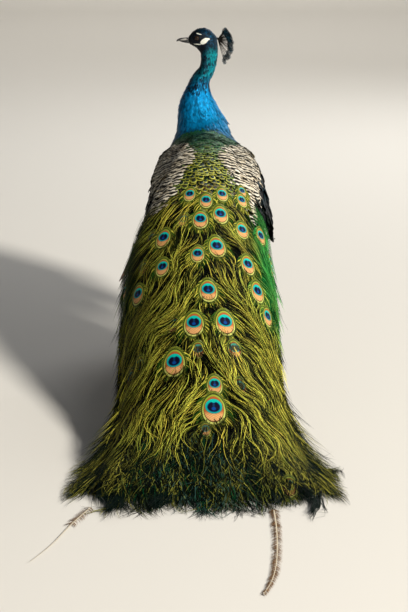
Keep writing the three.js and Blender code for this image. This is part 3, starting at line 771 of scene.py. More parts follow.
def shape_body(p, normals):
    """Draws the skin in by the coat's depth, and lets it out again at the crop and the throat."""
    p = p - normals * np.interp(p[:, 2], *COAT_DEPTH)[:, None]
    z, front = p[:, 2], ease(-normals[:, 0], 0.1, 0.8)
    crop = ease(z, 0.42, 0.48) * ease(z, 0.570, 0.505) * front
    throat = ease(z, 0.595, 0.630) * ease(z, 0.676, 0.662) * front
    return p + normals * (0.008 * crop + 0.0045 * throat)[:, None]


def sculpt_head(p, normals):
    """A lid round each eye, a socket under it and a brow over it."""
    for side, _ in SIDES[::-1]:
        out = p - (EYE_AT + (0, side * EYE_OUT, 0))
        across = np.hypot(out[:, 0], out[:, 2] * 1.1)
        near = (out[:, 1] * side > -0.006) & (across < 0.016)
        lid = np.exp(-(((across - 0.0066) / 0.0015) ** 2)) * 0.0022
        socket = ease(across, 0.0060, 0.0040) * -0.0055
        brow = np.exp(-(((out[:, 2] - 0.0098) / 0.0030) ** 2 + ((out[:, 0] + 0.001) / 0.011) ** 2)) * 0.0012
        p = p + normals * np.where(near, lid + socket + brow, 0.0)[:, None]
    return p


def unwrap(obj):
    """The skin's own unwrap, which its feathers take their places on."""
    bpy.context.view_layer.objects.active = obj
    obj.select_set(True)
    obj.data.uv_layers.new(name="OFBake")
    bpy.ops.object.mode_set(mode="EDIT")
    bpy.ops.mesh.select_all(action="SELECT")
    bpy.ops.uv.smart_project(angle_limit=math.radians(75), island_margin=0.002)
    bpy.ops.object.mode_set(mode="OBJECT")
    obj.select_set(False)


def make_skin(material):
    skin = remeshed("skin", FLESH, SKIN_CELL, 6)
    fine = bmesh.new()
    fine.from_mesh(skin.data)
    refine_head(fine)
    calm_nape(fine)
    fine.to_mesh(skin.data)
    fine.free()
    p, normals = points_of(skin.data), normals_of(skin.data)
    move_points(skin.data, sculpt_head(shape_body(p, normals), normals))
    dress(skin.data, material)
    unwrap(skin)
    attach(skin, "root")
    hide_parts(*FLESH)
    return skin


# ---------------------------------------------------------------- roots of the small feathers
class Ground:
    """A triangulated surface to set feathers on, which knows the nearest solid to each of its points."""

    def __init__(self, obj, nodes):
        mesh = obj.data
        mesh.calc_loop_triangles()
        self.triangles = read(mesh.loop_triangles, "vertices", 3, np.int32)
        loops = read(mesh.loop_triangles, "loops", 3, np.int32)
        self.map = read(mesh.uv_layers["OFBake"].data, "uv", 2)[loops]
        self.points, self.normals = points_of(mesh), normals_of(mesh)
        a, b, c = (self.points[self.triangles[:, k]] for k in range(3))
        self.areas = np.linalg.norm(np.cross(b - a, c - a), axis=1) * np.where(a[:, 2] > HEAD_Z, 4.0, 1.0)
        points, faces, self.owner = [], [], []
        for node in nodes:
            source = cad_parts[node].data
            source.calc_loop_triangles()
            faces += [tuple(k + len(points) for k in t.vertices) for t in source.loop_triangles]
            points += [tuple(v.co) for v in source.vertices]
            self.owner += [node] * len(source.loop_triangles)
        self.tree = BVHTree.FromPolygons(points, faces)

    def sample(self, count):
        """Roots spread by area, thicker on the head: point, normal, place on the unwrap, nearest solid."""
        picked = chance.choice(len(self.areas), count, p=self.areas / self.areas.sum())
        a, b = random(count), random(count)
        flip = a + b > 1
        a, b = np.where(flip, 1 - a, a), np.where(flip, 1 - b, b)
        weights = np.stack([1 - a - b, a, b], axis=1)[..., None]
        corners = self.triangles[picked]
        p = (self.points[corners] * weights).sum(1)
        n = unit((self.normals[corners] * weights).sum(1))
        owner = np.array([self.owner[self.tree.find_nearest(Vector(q))[2]] for q in p + DATUM])
        return p, n, (self.map[picked] * weights).sum(1), owner


def spaced(p, gap):
    """Indices of points, taken in order, that keep their own gap from those taken before."""
    cells, kept = {}, []
    keys = np.floor(p / gap.max()).astype(int).tolist()
    around = [(i, j, k) for i in (-1, 0, 1) for j in (-1, 0, 1) for k in (-1, 0, 1)]
    for index, ((x, y, z), point, room) in enumerate(zip(keys, p.tolist(), gap.tolist())):
        near = (other for i, j, k in around for other in cells.get((x + i, y + j, z + k), ()))
        if all(math.dist(other, point) >= room for other in near):
            cells.setdefault((x, y, z), []).append(point)
            kept.append(index)
    return np.array(kept)


def body_lie(p):
    """The way from bill to vent along the body's line, at the nearest part of it."""
    line = curve_through(BODY_LINE, 400)
    way = unit(np.gradient(line, axis=0))
    soft = np.stack([np.convolve(way[:, k], np.ones(41) / 41, "same") for k in range(3)], axis=1)
    nearest = np.array([np.argmin(((line - q) ** 2).sum(1)) for q in p])
    return unit(soft[nearest])


def saddle_lie(p):
    return unit(np.stack([p[:, 0] * 1.6, np.full(len(p), -1.0), np.full(len(p), -0.1)], axis=1))


def wing_lie(p):
    return np.stack([p[:, 0] * 0.3, np.full(len(p), -1.0), np.full(len(p), -0.28)], axis=1)


def thigh_lie(p):
    return np.broadcast_to((0, -0.25, -1.0), p.shape)


# ---------------------------------------------------------------- the train's surface
TRAIN_STEPS = np.linspace(TRAIN[0, 0], TRAIN[-1, 0], 240)[::-1]
FLATTEST = 0.004  # the least rise of the train's arch
WIDEST = 1.75  # no barb runs further round the arch than this many radians


def train_curve(column):
    """One column of the train's table as a smooth curve of y."""
    values = np.interp(TRAIN_STEPS, TRAIN[::-1, 0], TRAIN[::-1, column])
    return np.convolve(np.pad(values, 8, mode="edge"), np.hanning(17) / np.hanning(17).sum(), "valid")


TRAIN_CURVES = [train_curve(column) for column in range(1, 6)]


def train_at(y):
    """The train's middle, half width, crown, edge and underside at y."""
    return [np.interp(y, TRAIN_STEPS, values) for values in TRAIN_CURVES]


def train_point(y, angle, height=0.0):
    """The point at y and an angle round the train's arch from its crown, and the way out of the surface."""
    mid, wide, crown, edge, _ = train_at(y)
    slope = (train_at(y + 0.01)[2] - train_at(y - 0.01)[2]) / 0.02
    arch = np.maximum(crown - edge, FLATTEST)
    p = np.stack([mid + wide * np.sin(angle), y, edge + arch * np.cos(angle)], axis=-1)
    out = np.stack([np.sin(angle) / wide, -slope * np.cos(angle) / arch, np.cos(angle) / arch], axis=-1)
    out = unit(out * np.minimum(wide, arch)[..., None])
    return p + out * np.asarray(height)[..., None], out


def round_step(y, angle):
    """Metres round the arch for one radian at that place."""
    _, wide, crown, edge, _ = train_at(y)
    return np.hypot(wide * np.cos(angle), np.maximum(crown - edge, FLATTEST) * np.sin(angle)) + 1e-4


def way_along(y, angle, turn, step):
    """The way over the train's surface that is turned by so much from the way down the train."""
    ahead, _ = train_point(y - np.cos(turn) * step, angle + np.sin(turn) * step / round_step(y, angle))
    return unit(ahead - train_point(y, angle)[0])


def train_map(angle, y):
    """The train's places on the unwrap."""
    return np.stack([0.5 + 0.27 * angle / WIDEST, 0.97 + 0.80 * y], axis=1)


def height_over(x, y):
    """Height of the train's upper surface over a point of the floor, or 0 past its end."""
    mid, wide, crown, edge, _ = train_at(y)
    share = np.clip((x - mid) / wide, -1, 1)
    return (edge + (crown - edge) * np.sqrt(1 - share**2)) * ease(y, -1.105, -1.055)


def under_point(y, share, below=0.0):
    """A point on the hollow underside of the train, share of the way from its middle to an edge."""
    mid, wide, crown, edge, under = train_at(y)
    under = np.minimum(under, crown - 0.012)
    z = edge + (under - edge) * np.sqrt(np.maximum(1 - share**2, 0)) - below
    return np.stack([mid + (wide - 0.010) * share, y, np.maximum(z, 2 * FLOOR_GAP)], axis=-1)


def held_in(x):
    """x, eased off so that it stays within the reach of the fan on the floor."""
    free = 0.215
    past = np.maximum(np.abs(x) - free, 0.0) / (FLOOR_REACH - free)
    return np.sign(x) * (np.minimum(np.abs(x), free) + (FLOOR_REACH - free) * np.tanh(past))


def to_frame(p):
    """Where points show in the reference frame, across and down, and the metres a pixel spans there."""
    tilt = math.radians(CAMERA["tilt_down"])
    away, below = p[..., 1] - CAMERA["place"][1], CAMERA["place"][2] - p[..., 2]
    depth = away * math.cos(tilt) + below * math.sin(tilt)
    span = depth * CAMERA["sensor"] / CAMERA["lens"] / max(FRAME_SIZE)
    across = FRAME_SIZE[0] / 2 + (p[..., 0] - CAMERA["place"][0]) / span
    return across, FRAME_SIZE[1] / 2 + (below * math.cos(tilt) - away * math.sin(tilt)) / span, span


def seen_at(px, py):
    """The place on the train that shows at a point of the reference frame: y, angle and metres a pixel."""
    y, angle = np.meshgrid(np.linspace(0.05, -1.08, 460), np.linspace(-1.5, 1.5, 240), indexing="ij")
    across, down, span = to_frame(train_point(y, angle)[0])
    best = np.argmin((across - px) ** 2 + (down - py) ** 2)
    return y.ravel()[best], angle.ravel()[best], span.ravel()[best]


# ---------------------------------------------------------------- the train's feathers
BARBS_START = -0.275  # y of the roots of the highest barbs
DIM = 0.75  # an eye less bright than this lies half hidden under the barbs

# The waves of the barbs: size, size added near the floor, turns across and along the train, and start.
WAVES = [(0.20, 0.0, 23, 31, 1.0), (0.16, 0.12, 58, -47, 2.0), (0.14, 0.0, 115, 75, 0.5)]

# Barbs of the train by layer, the lowest first. crowding and run say how they spread down the train, gold
# and fade how golden they are, loose whether their tips lift, and clear whether they keep off the eyes.
# The lowest layer has little gold, so it is near black: painted shade in the gaps under the upper barbs.
LAYERS = [
    {"count": 24000, "width": (0.0010, 0.0015), "height": (-0.008, -0.004), "length": (0.05, 0.09),
     "crowding": 1.0, "run": 0.765, "gold": 0.30, "fade": 1.5, "loose": 0, "clear": False, "pieces": 2},
    {"count": 11500, "width": (0.0008, 0.0012), "height": (-0.004, -0.0005), "length": (0.05, 0.10),
     "crowding": 0.75, "run": 0.765, "gold": 0.80, "fade": 1.5, "loose": 1, "clear": False, "pieces": 1},
    {"count": 8500, "width": (0.0007, 0.0011), "height": (0.000, 0.0040), "length": (0.05, 0.11),
     "crowding": 0.75, "run": 0.675, "gold": 1.05, "fade": 1.0, "loose": 1, "clear": True, "pieces": 1},
]

# How wide a strand is at each step, as a share of its width.
BARB_TAPER = np.array([0.7, 1.0, 1.0, 0.9, 0.75, 0.5, 0.12])
FRINGE_TAPER = np.array([1, 1, 0.9, 0.6, 0.15])
WISP_TAPER = np.array([1, 1, 1, 1, 0.9, 0.75, 0.5, 0.12])
UNDER_TAPER = np.array([0.8, 1, 1, 0.8, 0.2])
WORN_TAPER = np.array([1, 0.9, 0.7, 0.2])
SPADE_TAPER = np.array([1, 1, 0.9, 0.4])


def train_eyes_list():
    """Rows of y and angle of the middle of each eye on the train, its width and its brightness."""
    rows = []
    for px, py, width, bright in EYES_SEEN:
        y, angle, span = seen_at(px, py)
        rows.append((y, angle, width * span * 1.12, bright))
    for side in (-1, 1):
        for y in np.arange(-0.36, -0.80, -0.085):
            rows.append((y + random(None, -0.02, 0.02), side * random(None, 1.30, 1.42), 0.030, 0.8))
    return np.array(rows)


def lie_of_train(y, angle, eyes, waves=1.0):
    """How far barbs turn from the way down the train: outwards, in waves, and apart around each eye."""
    arc = angle * train_at(y)[1]
    low = ease(y, -0.62, -0.95)
    turn = (0.72 - 0.52 * low) * np.tanh(1.7 * angle)
    for size, size_low, by_arc, by_y, start in WAVES:
        turn = turn + waves * (size + size_low * low) * np.sin(by_arc * arc + by_y * y + start)
    step = round_step(y, angle)
    for y_eye, angle_eye, width, _ in eyes:
        beside = (angle - angle_eye) * step / width
        before = (y - y_eye) / width
        near = np.exp(-(beside**2 + (before - 0.3) ** 2) / 1.1)
        turn = turn + np.tanh(3 * beside) * 0.75 * near
    return turn


def strand_colour(p, angle, gold):
    """Gold over olive over near black, the near black painted shade; bluer green on the floor, darkened there
    as painted shade; emerald along the right, painted dark as shade along the left.
    """
    y, z = p[..., 1], p[..., 2]
    lit, upper = ease(gold, 0.0, 0.9)[..., None], ease(y, -0.66, -0.46)
    # Near black where gold is least: painted shade in the gaps under the upper barbs.
    colour = blend((0.001, 0.002, 0.001), (0.026, 0.034, 0.005), ease(gold, 0.28, 0.64))
    colour = blend(colour, (0.84, 0.77, 0.095), ease(gold, 0.52, 0.97))
    colour = blend(colour, np.array((0.020, 0.42, 0.080)) * lit, ease(angle, 0.65, 1.0) * upper * 0.9)
    # Along the left the same emerald, painted dark as shade.
    colour = blend(colour, np.array((0.006, 0.085, 0.022)) * lit, ease(-angle, 0.80, 1.15) * upper * 0.85)
    # Bluer green near the floor, and darker there: painted shade where the train's end lies in its own
    # shadow.
    floor = ease(z, 0.078, 0.030) * (1 - 0.32 * ease(gold, 0.45, 0.85))
    return blend(colour, (0.002, 0.009, 0.006), floor * 0.93)


def darker_root(t):
    return 0.35 + 0.65 * ease(t, 0.0, 0.3)


def barb_starts(layer):
    """Where a layer's barbs start: y and angle."""
    count = layer["count"]
    share = random(count) ** layer["crowding"]
    y = BARBS_START - layer["run"] * share
    angle = random(count, -1.62, 1.62) * (0.9 + 0.1 * random(count))
    y = y + 0.05 * (np.abs(angle) / 1.6) ** 2 * (share < 0.1)
    end = 0.030 * np.sin(3.1 * angle + 0.6) + 0.020 * np.sin(9.0 * angle) + 0.015
    return y + ease(y, -0.93, -1.04) * end, angle


def clear_of_eyes(lines, eyes):
    """Which strands don't cross the coloured part of any bright eye."""
    clear = np.full(len(lines), True)
    for y, angle, width, bright in eyes:
        if bright >= DIM:
            middle, _ = train_point(np.array(y), np.array(angle))
            clear &= (np.linalg.norm(lines - middle, axis=-1) > width * 0.50).all(axis=1)
    return clear


def train_barbs(eyes, material):
    """Loose barbs that stream down the train in waves and part round its eyes, as layers of ribbons."""
    steps = len(BARB_TAPER)
    for number, layer in enumerate(LAYERS, 1):
        count = layer["count"]
        y, angle = barb_starts(layer)
        stride = random(count, *layer["length"]) * (1 + 0.15 * ease(y, -0.5, -0.9)) / (steps - 1)
        height = random(count, *layer["height"])
        gold = layer["gold"] * random(count) ** layer["fade"] * (1 - 0.7 * ease(y, -0.915, -0.955))
        stray, curl = random(count, -0.22, 0.22), random(count, -0.34, 0.34)
        redness = random((count, 1), 0.80, 1.12)
        lines, sides, tints = (np.empty((count, steps, 3)) for _ in range(3))
        for k, t in stations(steps):
            lift = (0.003 * t - 0.004 * (1 - t) ** 3) * layer["loose"]
            lines[:, k], out = train_point(y, angle, height + lift)
            bend = lie_of_train(y, angle, eyes) + stray + curl * t
            sides[:, k] = np.cross(way_along(y, angle, bend, 0.002), out)
            tints[:, k] = strand_colour(lines[:, k], angle, gold) * darker_root(t)
            angle = np.clip(angle + np.sin(bend) * stride / round_step(y, angle), -WIDEST, WIDEST)
            y = y - np.cos(bend) * stride * 0.93
        tints[..., 0] *= redness
        keep = (np.abs(angle) < 1.68 - 0.55 * ease(y, -0.97, -1.06)) | (y > -0.96)
        if layer["clear"]:
            keep &= clear_of_eyes(lines, eyes)
        widths = random((count, 1), *layer["width"]) * BARB_TAPER
        places = train_map(angle, y)
        for part, picked in enumerate(np.array_split(np.nonzero(keep)[0], layer["pieces"]), 1):
            obj = ribbons(f"train_barbs_{number}_{part}", lines[picked], sides[picked], widths[picked],
                          places[picked], gold[picked], tints[picked], material)


def train_eyes(eyes, vane_paint, fringe_paint):
    """The eyes' vanes, each within a fringe of its own barbs."""
    y, angle, width, bright = eyes.T
    length = width * 1.58
    flat = ease(np.abs(angle), 0.9, 1.25)
    middle, out = train_point(y, angle, 0.0035 - 0.0030 * flat - 0.0040 * (bright < DIM))
    lie = flatten(way_along(y, angle, lie_of_train(y, angle, [], 0.4) * 0.45, 0.01), out)
    steep = np.radians(9.0 - 9.0 * flat)[:, None]
    lie, out = lie * np.cos(steep) - out * np.sin(steep), out * np.cos(steep) + lie * np.sin(steep)
    root = middle - lie * (length * 0.45)[:, None]
    obj = scatter("train_eyes", DISC, root, lie, out, length, width, 0.0, 0.02, bright, train_map(angle, y),
                  vane_paint, patch=WIDE_PATCH)
    eye_fringes(eyes, length, root[:, None], lie[:, None], out[:, None], fringe_paint)


def eye_fringes(eyes, length, root, lie, out, material):
    """Barbs that run out and down from the rim of each eye."""
    y, angle, width, bright = eyes.T
    count, each, steps = len(eyes), 84, len(FRINGE_TAPER)
    rim = (np.radians(np.linspace(-150, 150, each)) + random((count, each), -0.04, 0.04))[..., None]
    side, wide, long = np.cross(lie, out), width[:, None, None], length[:, None, None]
    start = root + lie * (long * (0.5 + 0.47 * np.cos(rim))) + side * (wide * 0.47 * np.sin(rim))
    start = start - out * 0.0012
    reach = wide * random((count, each, 1), 0.35, 0.70)
    lines = np.empty((count, each, steps, 3))
    for k, t in stations(steps):
        way = side * np.sin(rim) * (1 - 0.5 * t) + lie * (np.cos(rim) * 0.6 + 0.75)
        lines[:, :, k] = start + way * (reach * t) - out * (0.0035 * t * t)
    lines = lines.reshape(-1, steps, 3)
    sides = np.cross(unit(np.gradient(lines, axis=1)), np.repeat(out, each, axis=0))
    gold = random(len(lines))
    tints = strand_colour(lines, np.repeat(angle, each)[:, None], (0.10 + 0.78 * gold)[:, None])
    tints = blend(tints, (0.03, 0.12, 0.012), ((gold < 0.5) * 0.5)[:, None])
    # The fringes of dimmer eyes are darkened too: painted shade.
    tints = tints * (0.3 + 0.7 * np.repeat(bright, each))[:, None, None]
    widths = random((len(lines), 1), 0.0008, 0.0013) * FRINGE_TAPER
    places = np.repeat(train_map(angle, y), each, axis=0)
    ribbons("eye_fringes", lines, sides, widths, places, gold, tints, material)


def mat_faces(rows, columns):
    """Quads of a tube of (rows + 1) rings, closed by a fan of quads round one more point at each end."""
    row, column = (each.ravel() for each in np.meshgrid(np.arange(rows), np.arange(columns), indexing="ij"))
    corners = [(row + i, column + j) for i, j in ((0, 0), (1, 0), (1, 1), (0, 1))]
    faces = [np.stack([r * columns + c % columns for r, c in corners], axis=1)]
    pairs = np.arange(0, columns, 2)
    centre = (rows + 1) * columns
    for middle, first, way in ((centre, 0, 1), (centre + 1, rows * columns, -1)):
        ring = [first + (pairs + k) % columns for k in (0, 1, 2)[::way]]
        faces.append(np.stack([np.full(len(pairs), middle), *ring], axis=1))
    return np.concatenate(faces), corners


def make_mat(material):
    """The closed mass under the barbs, in place of the train's solids."""
    rows, columns = 90, 44
    y = np.linspace(-0.262, -1.035, rows + 1)[:, None]
    turn = np.linspace(0, 2 * math.pi, columns, endpoint=False)
    mid, wide, crown, edge, under = train_at(y)
    depth = 0.008 * ease(-y, 1.10, 0.90) + 0.004
    under = np.maximum(np.minimum(under, crown - 0.006), 0.001)
    crown = crown - depth
    edge = np.clip(edge, 0.0015, crown - 0.004)
    up = np.cos(turn)
    z = edge + np.where(up > 0, up * (crown - edge), -up * (under - edge))
    points = np.stack(np.broadcast_arrays(mid + (wide - depth) * np.sin(turn), y, z), axis=-1)
    every = np.concatenate([points.reshape(-1, 3), [points[0].mean(0), points[-1].mean(0)]])
    faces, corners = mat_faces(rows, columns)
    tube = np.stack([np.stack([c / columns, 0.95 + 0.85 * y[r, 0]], axis=1) for r, c in corners], axis=1)
    cap = np.broadcast_to([[0.50, 0.96], [0.49, 0.97], [0.50, 0.98], [0.51, 0.97]], (columns, 4, 2))
    places = np.concatenate([tube, cap]).reshape(-1, 2)
    obj = mesh_object("train_mat", every, faces, material, {"OFBake": places})
    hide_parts("train_fore", "train_middle", "train_rear", "train_fan_left", "train_fan_middle",
                "train_fan_right")


def under_shafts(material):
    """Pale shafts on the underside of the train."""
    shafts, steps = 40, 30
    share = np.linspace(-0.93, 0.93, shafts)[:, None] * np.linspace(0.75, 1.0, steps)
    share = share + random((shafts, 1), -0.02, 0.02)
    y = np.linspace(BARBS_START, -0.93, steps) + random((shafts, 1), -0.05, 0.05) * np.linspace(0, 1, steps)
    lines = under_point(y, share, 0.0018)
    widths = random((shafts, 1), 0.0013, 0.0019) * np.linspace(1.0, 0.4, steps)
    places = np.stack([0.1 + 0.15 * share[:, 0], np.full(shafts, 0.5)], axis=1)
    obj = ribbons("train_shafts", lines, level_sides(lines, -UP), widths, places, 1.0, (0.42, 0.36, 0.27),
                  material)


def under_barbs(material):
    """Dull brown barbs on the underside of the train."""
    count, steps = 6500, len(UNDER_TAPER)
    y = -0.265 - 0.70 * random(count)
    share = random(count, -0.98, 0.98)
    reach, turn = random(count, 0.035, 0.060), random(count, -0.7, 0.7)
    tints = blend((0.020, 0.016, 0.009), (0.115, 0.085, 0.048), random(count) ** 1.5)
    lines = np.empty((count, steps, 3))
    for k, t in stations(steps):
        drift = share + np.sin(turn) * reach * t / train_at(y)[1]
        below = random(count) * 0.001
        lines[:, k] = under_point(y - np.cos(turn) * reach * t, np.clip(drift, -0.99, 0.99), below)
    sides = level_sides(lines, -UP)
    widths = random((count, 1), 0.0013, 0.0022) * UNDER_TAPER
    places = np.stack([0.1 + 0.15 * share, 0.97 + 0.80 * y], axis=1)
    obj = ribbons("train_underside", lines, sides, widths, places, random(count), tints[:, None], material)


def side_wisps(material):
    """Loose barbs that stand off both sides of the train and run out over the floor at its end."""
    count, steps = 2400, len(WISP_TAPER)
    side = one_side(count)
    y = -0.34 - 0.66 * random(count) ** 0.6
    low = ease(y, -0.66, -0.86)
    angle = side * random(count, 1.10, 1.60)
    start, _ = train_point(y, angle, random(count, -0.004, 0.002))
    down = way_along(y, angle, 0.0, 0.004)
    heading = np.radians(random(count, 2, 13) + low * random(count, 6, 34))
    curl = random(count, -0.35, 0.45) * (0.4 + 0.6 * low)
    length = random(count, 0.035, 0.070) + low * random(count, 0.015, 0.048)
    gold = random(count) ** 1.4
    lines, tints = (np.empty((count, steps, 3)) for _ in range(2))
    for k, t in stations(steps):
        way = heading + curl * t
        out = np.outer(side * np.sin(way), (1, 0, 0))
        lines[:, k] = start + (down * np.cos(way)[:, None] + out) * (length * t)[:, None]
        lines[:, k, 2] -= length * 0.22 * t * t
        tints[:, k] = strand_colour(lines[:, k], angle, gold) * darker_root(t)
    lines[..., 0] = held_in(lines[..., 0])
    lines[..., 2] = np.maximum(lines[..., 2], random((count, 1), 0.0010, 0.0060))
    sides = level_sides(lines, tilt=random((count, 1, 1), -0.5, 0.5))
    widths = random((count, 1), 0.0007, 0.0012) * WISP_TAPER
    obj = ribbons("side_wisps", lines, sides, widths, train_map(angle, y), gold, tints, material)


def heading_to(turn):
    return np.stack([np.cos(turn), np.sin(turn)], axis=-1)


def fringe_lines(share, barbs, steps):
    """Barbs of feathers fanned out on the floor, share of the way from the middle of the train's end."""
    feathers, each = len(share), (len(share), barbs)
    outer = np.abs(share) ** 2.2
    turn = np.radians(-90 + 26 * share + random(feathers, -12, 12))
    start = np.stack([0.005 + 0.174 * share, -0.945 + 0.095 * outer + random(feathers, -0.075, 0.03)], axis=1)
    reach = random(feathers, 0.050, 0.150) - 0.010 * outer
    curve = random(feathers, -0.5, 0.5) + 0.25 * share
    along = random(each) ** 0.8
    bend = turn[:, None] + curve[:, None] * along
    root = start[:, None] + heading_to(bend) * (reach[:, None] * along)[..., None]
    side = one_side(each)
    bend = bend + side * np.radians(random(each, 6, 38)) * (1 - 0.4 * along)
    length = random(each, 0.035, 0.095) * (1 - 0.35 * along)
    curl = side * random(each, -0.9, 0.7)
    lines = np.empty((*each, steps, 3))
    for k, t in stations(steps):
        lines[:, :, k, :2] = root + heading_to(bend + curl * t) * (length * t)[..., None]
        over = height_over(lines[:, :, k, 0], lines[:, :, k, 1])
        lines[:, :, k, 2] = over + 0.001 + 0.014 * t * (1 - t) * random(each)
    lines[..., 0] = held_in(lines[..., 0])
    return lines.reshape(-1, steps, 3)


def fringe_tints(share, barbs, tone):
    """Dark green barbs, near black as painted shade where they lie on the floor, golden on some feathers, and
    more so towards the sides, with a few cold glints.
    """
    feathers = len(share)
    off = np.abs(share + 0.10)
    # The near black base is painted shade over the barbs' dark green.
    tints = blend((0.001, 0.003, 0.002), (0.004, 0.070, 0.022),
                  ease(tone, 0.50, 1.0) * np.repeat(random(feathers), barbs))
    golden = ease(np.repeat(random(feathers) + 0.5 * ease(off, 0.15, 0.9), barbs), 0.45, 1.0)
    tints = blend(tints, (0.34, 0.32, 0.045), golden * ease(tone, 0.35, 0.9) * 0.85)
    glint = (np.repeat(random(feathers) * (off < 0.35), barbs) > 0.62) & (tone > 0.62)
    return blend(tints, (0.022, 0.060, 0.052), glint * 0.9)


def floor_fringe(material):
    """Ends of the longest feathers, fanned out on the floor, each a shaft with loose barbs on both sides."""
    feathers, barbs = 104, 54
    share = np.linspace(-1, 1, feathers) + random(feathers, -0.04, 0.04)
    lines = fringe_lines(share, barbs, len(WISP_TAPER))
    count = len(lines)
    sides = level_sides(lines, tilt=random((count, 1, 1), -0.4, 0.4))
    widths = random((count, 1), 0.0008, 0.0015) * WISP_TAPER
    tone = random(count)
    tints = fringe_tints(share, barbs, tone)[:, None]
    places = np.stack([0.5 + 0.27 * np.repeat(share, barbs), np.full(count, 0.05)], axis=1)
    ribbons("floor_fringe", lines, sides, widths, places, tone, tints, material)


# ---------------------------------------------------------------- the coat of small feathers
ROOTS_TRIED = 95000
NECK_Z = (0.44, 0.52, 0.60, 0.65)
NECK_TOP = 0.648  # the head's own feathers grow above this
BARE_ROUND_EYE = 0.0085  # no feather grows nearer to the middle of an eye
MANTLE_BACK = (-0.10, 0.05, 0.28)
WING_BACK = (-0.12, 0.05, 0.30)

# The small feathers. A gap between roots, a length or a width is one number, or goes by the height ("z") or
# the way back ("back", which is -y): places along that, and the values there.
COAT = {
    "head_feathers": {
        "slot": "crown", "paint": "small", "vane": LANCE, "lie": body_lie, "lift": (0.10, 0.30),
        "droop": 0.10,
        "gap": 0.0013, "length": 0.0052, "width": 0.0026,
    },
    "neck_feathers": {
        "slot": "neck", "paint": "small", "vane": LANCE, "lie": body_lie, "lift": (0.12, 0.30),
        "droop": 0.06,
        "gap": ("z", NECK_Z, (0.0045, 0.0036, 0.0026, 0.0022)),
        "length": ("z", NECK_Z, (0.022, 0.016, 0.011, 0.008)),
        "width": ("z", NECK_Z, (0.011, 0.0085, 0.006, 0.0045)),
    },
    "breast_and_belly_feathers": {
        "slot": "breast", "paint": "small", "vane": SCALE, "lie": body_lie, "lift": (0.15, 0.30),
        "droop": 0.10,
        "gap": 0.0085, "length": 0.030, "width": 0.018,
    },
    "thigh_feathers": {
        "slot": "thigh", "paint": "down", "vane": LANCE, "lie": thigh_lie, "lift": (0.1, 0.25),
        "droop": 0.05,
        "gap": 0.0055, "length": 0.022, "width": 0.008, "steepest": 0.97,
    },
    "saddle_scales": {
        "slot": "saddle", "paint": "mantle", "vane": SCALE, "lie": saddle_lie, "lift": (0.16, 0.30),
        "droop": 0.10,
        "gap": ("back", MANTLE_BACK, (0.0038, 0.0056, 0.0100)),
        "length": ("back", MANTLE_BACK, (0.010, 0.015, 0.025)),
        "width": ("back", MANTLE_BACK, (0.0070, 0.0100, 0.0165)),
    },
    "barred_feathers": {
        "slot": "barred", "paint": "barred", "vane": BROAD, "lie": wing_lie, "lift": (0.10, 0.20),
        "droop": 0.08,
        "gap": ("back", (-0.12, 0.30), (0.0075, 0.0125)),
        "length": ("back", WING_BACK, (0.020, 0.030, 0.042)),
        "width": ("back", WING_BACK, (0.015, 0.020, 0.026)),
    },
    "covert_feathers": {
        "slot": "covert", "paint": "covert", "vane": BROAD, "lie": wing_lie, "lift": (0.08, 0.16),
        "droop": 0.07,
        "gap": ("back", (-0.12, 0.25), (0.011, 0.018)),
        "length": ("back", (-0.12, 0.25), (0.034, 0.066)),
        "width": ("back", (-0.12, 0.25), (0.022, 0.026)),
    },
}

# Half width of the green mantle between the barred wings, by the way back.
MANTLE_HALF = [(-0.10, -0.06, 0.0, 0.12, 0.20, 0.25, 0.30), (0.100, 0.085, 0.055, 0.032, 0.060, 0.085, 0.112)]


def wing_regions(p, n, name):
    """Where the mantle, the barred feathers and the dark coverts grow, which share the back between them."""
    x, y, z = p.T
    off, off_mantle, saddle = np.abs(x), np.abs(x - 0.006), name == "saddle"
    wing, covert = (np.char.startswith(name, part) for part in ("wing_barred", "wing_covert"))
    upper = (n[:, 2] > -0.15) & (y < 0.116) & (y > -0.315)
    back = upper & (saddle | wing | (name == "breast") & (n[:, 2] > 0.35) & (z > 0.42))
    back |= upper & (name == "neck_lower") & (n[:, 1] < 0) & (z < 0.474 - 0.20 * off)
    half = np.interp(-y, *MANTLE_HALF)
    mantle = back & (off_mantle < half + random(len(p), -0.004, 0.004)) & (y > -0.29)
    collar = 0.464 - 0.40 * off_mantle + random(len(p), -0.003, 0.003)
    mantle &= (y < 0.085) | (z < collar)
    wing = (wing | (back & saddle & (y < 0.06))) & ~mantle & (y > -0.30)
    outer = wing & (off > 0.128) & (y < -0.05)
    wing &= ~outer & ((y > -0.20) | (off < 0.112))
    covert = (covert | outer) & (y > np.where(x > 0, -0.180, -0.165))
    return mantle, wing, covert


def regions(p, n, name):
    """Which points each kind of small feather grows on."""
    x, y, z = p.T
    mantle, wing, covert = wing_regions(p, n, name)
    thigh = np.char.startswith(name, "thigh")
    thigh |= (name == "trunk") & (z < 0.305) & (np.abs(np.abs(x) - 0.055) < 0.035) & (y > -0.10)
    rest = ~(wing | covert | thigh | mantle) & ((name != "saddle") | (y > 0.08))
    clear = x >= np.where(z < 0.668, -0.038, -0.032)
    for side, _ in SIDES:
        clear &= np.linalg.norm(p - EYE_AT - (0, side * EYE_OUT, 0), axis=1) > BARE_ROUND_EYE
    on_head, under_train = z > NECK_TOP, (y < -0.02) & (z > 0.40)
    below = rest & ~on_head & ~under_train
    return {
        "head_feathers": rest & on_head & clear,
        "neck_feathers": below & (z > NECK_Z[0]),
        "breast_and_belly_feathers": below & (z <= NECK_Z[0]),
        "thigh_feathers": thigh,
        "saddle_scales": mantle,
        "barred_feathers": wing,
        "covert_feathers": covert,
    }


def sized(p, measure):
    """A measure of a kind of feather at each point."""
    if isinstance(measure, float):
        return np.full(len(p), measure)
    axis, places, values = measure
    return np.interp(p[:, 2] if axis == "z" else -p[:, 1], places, values)


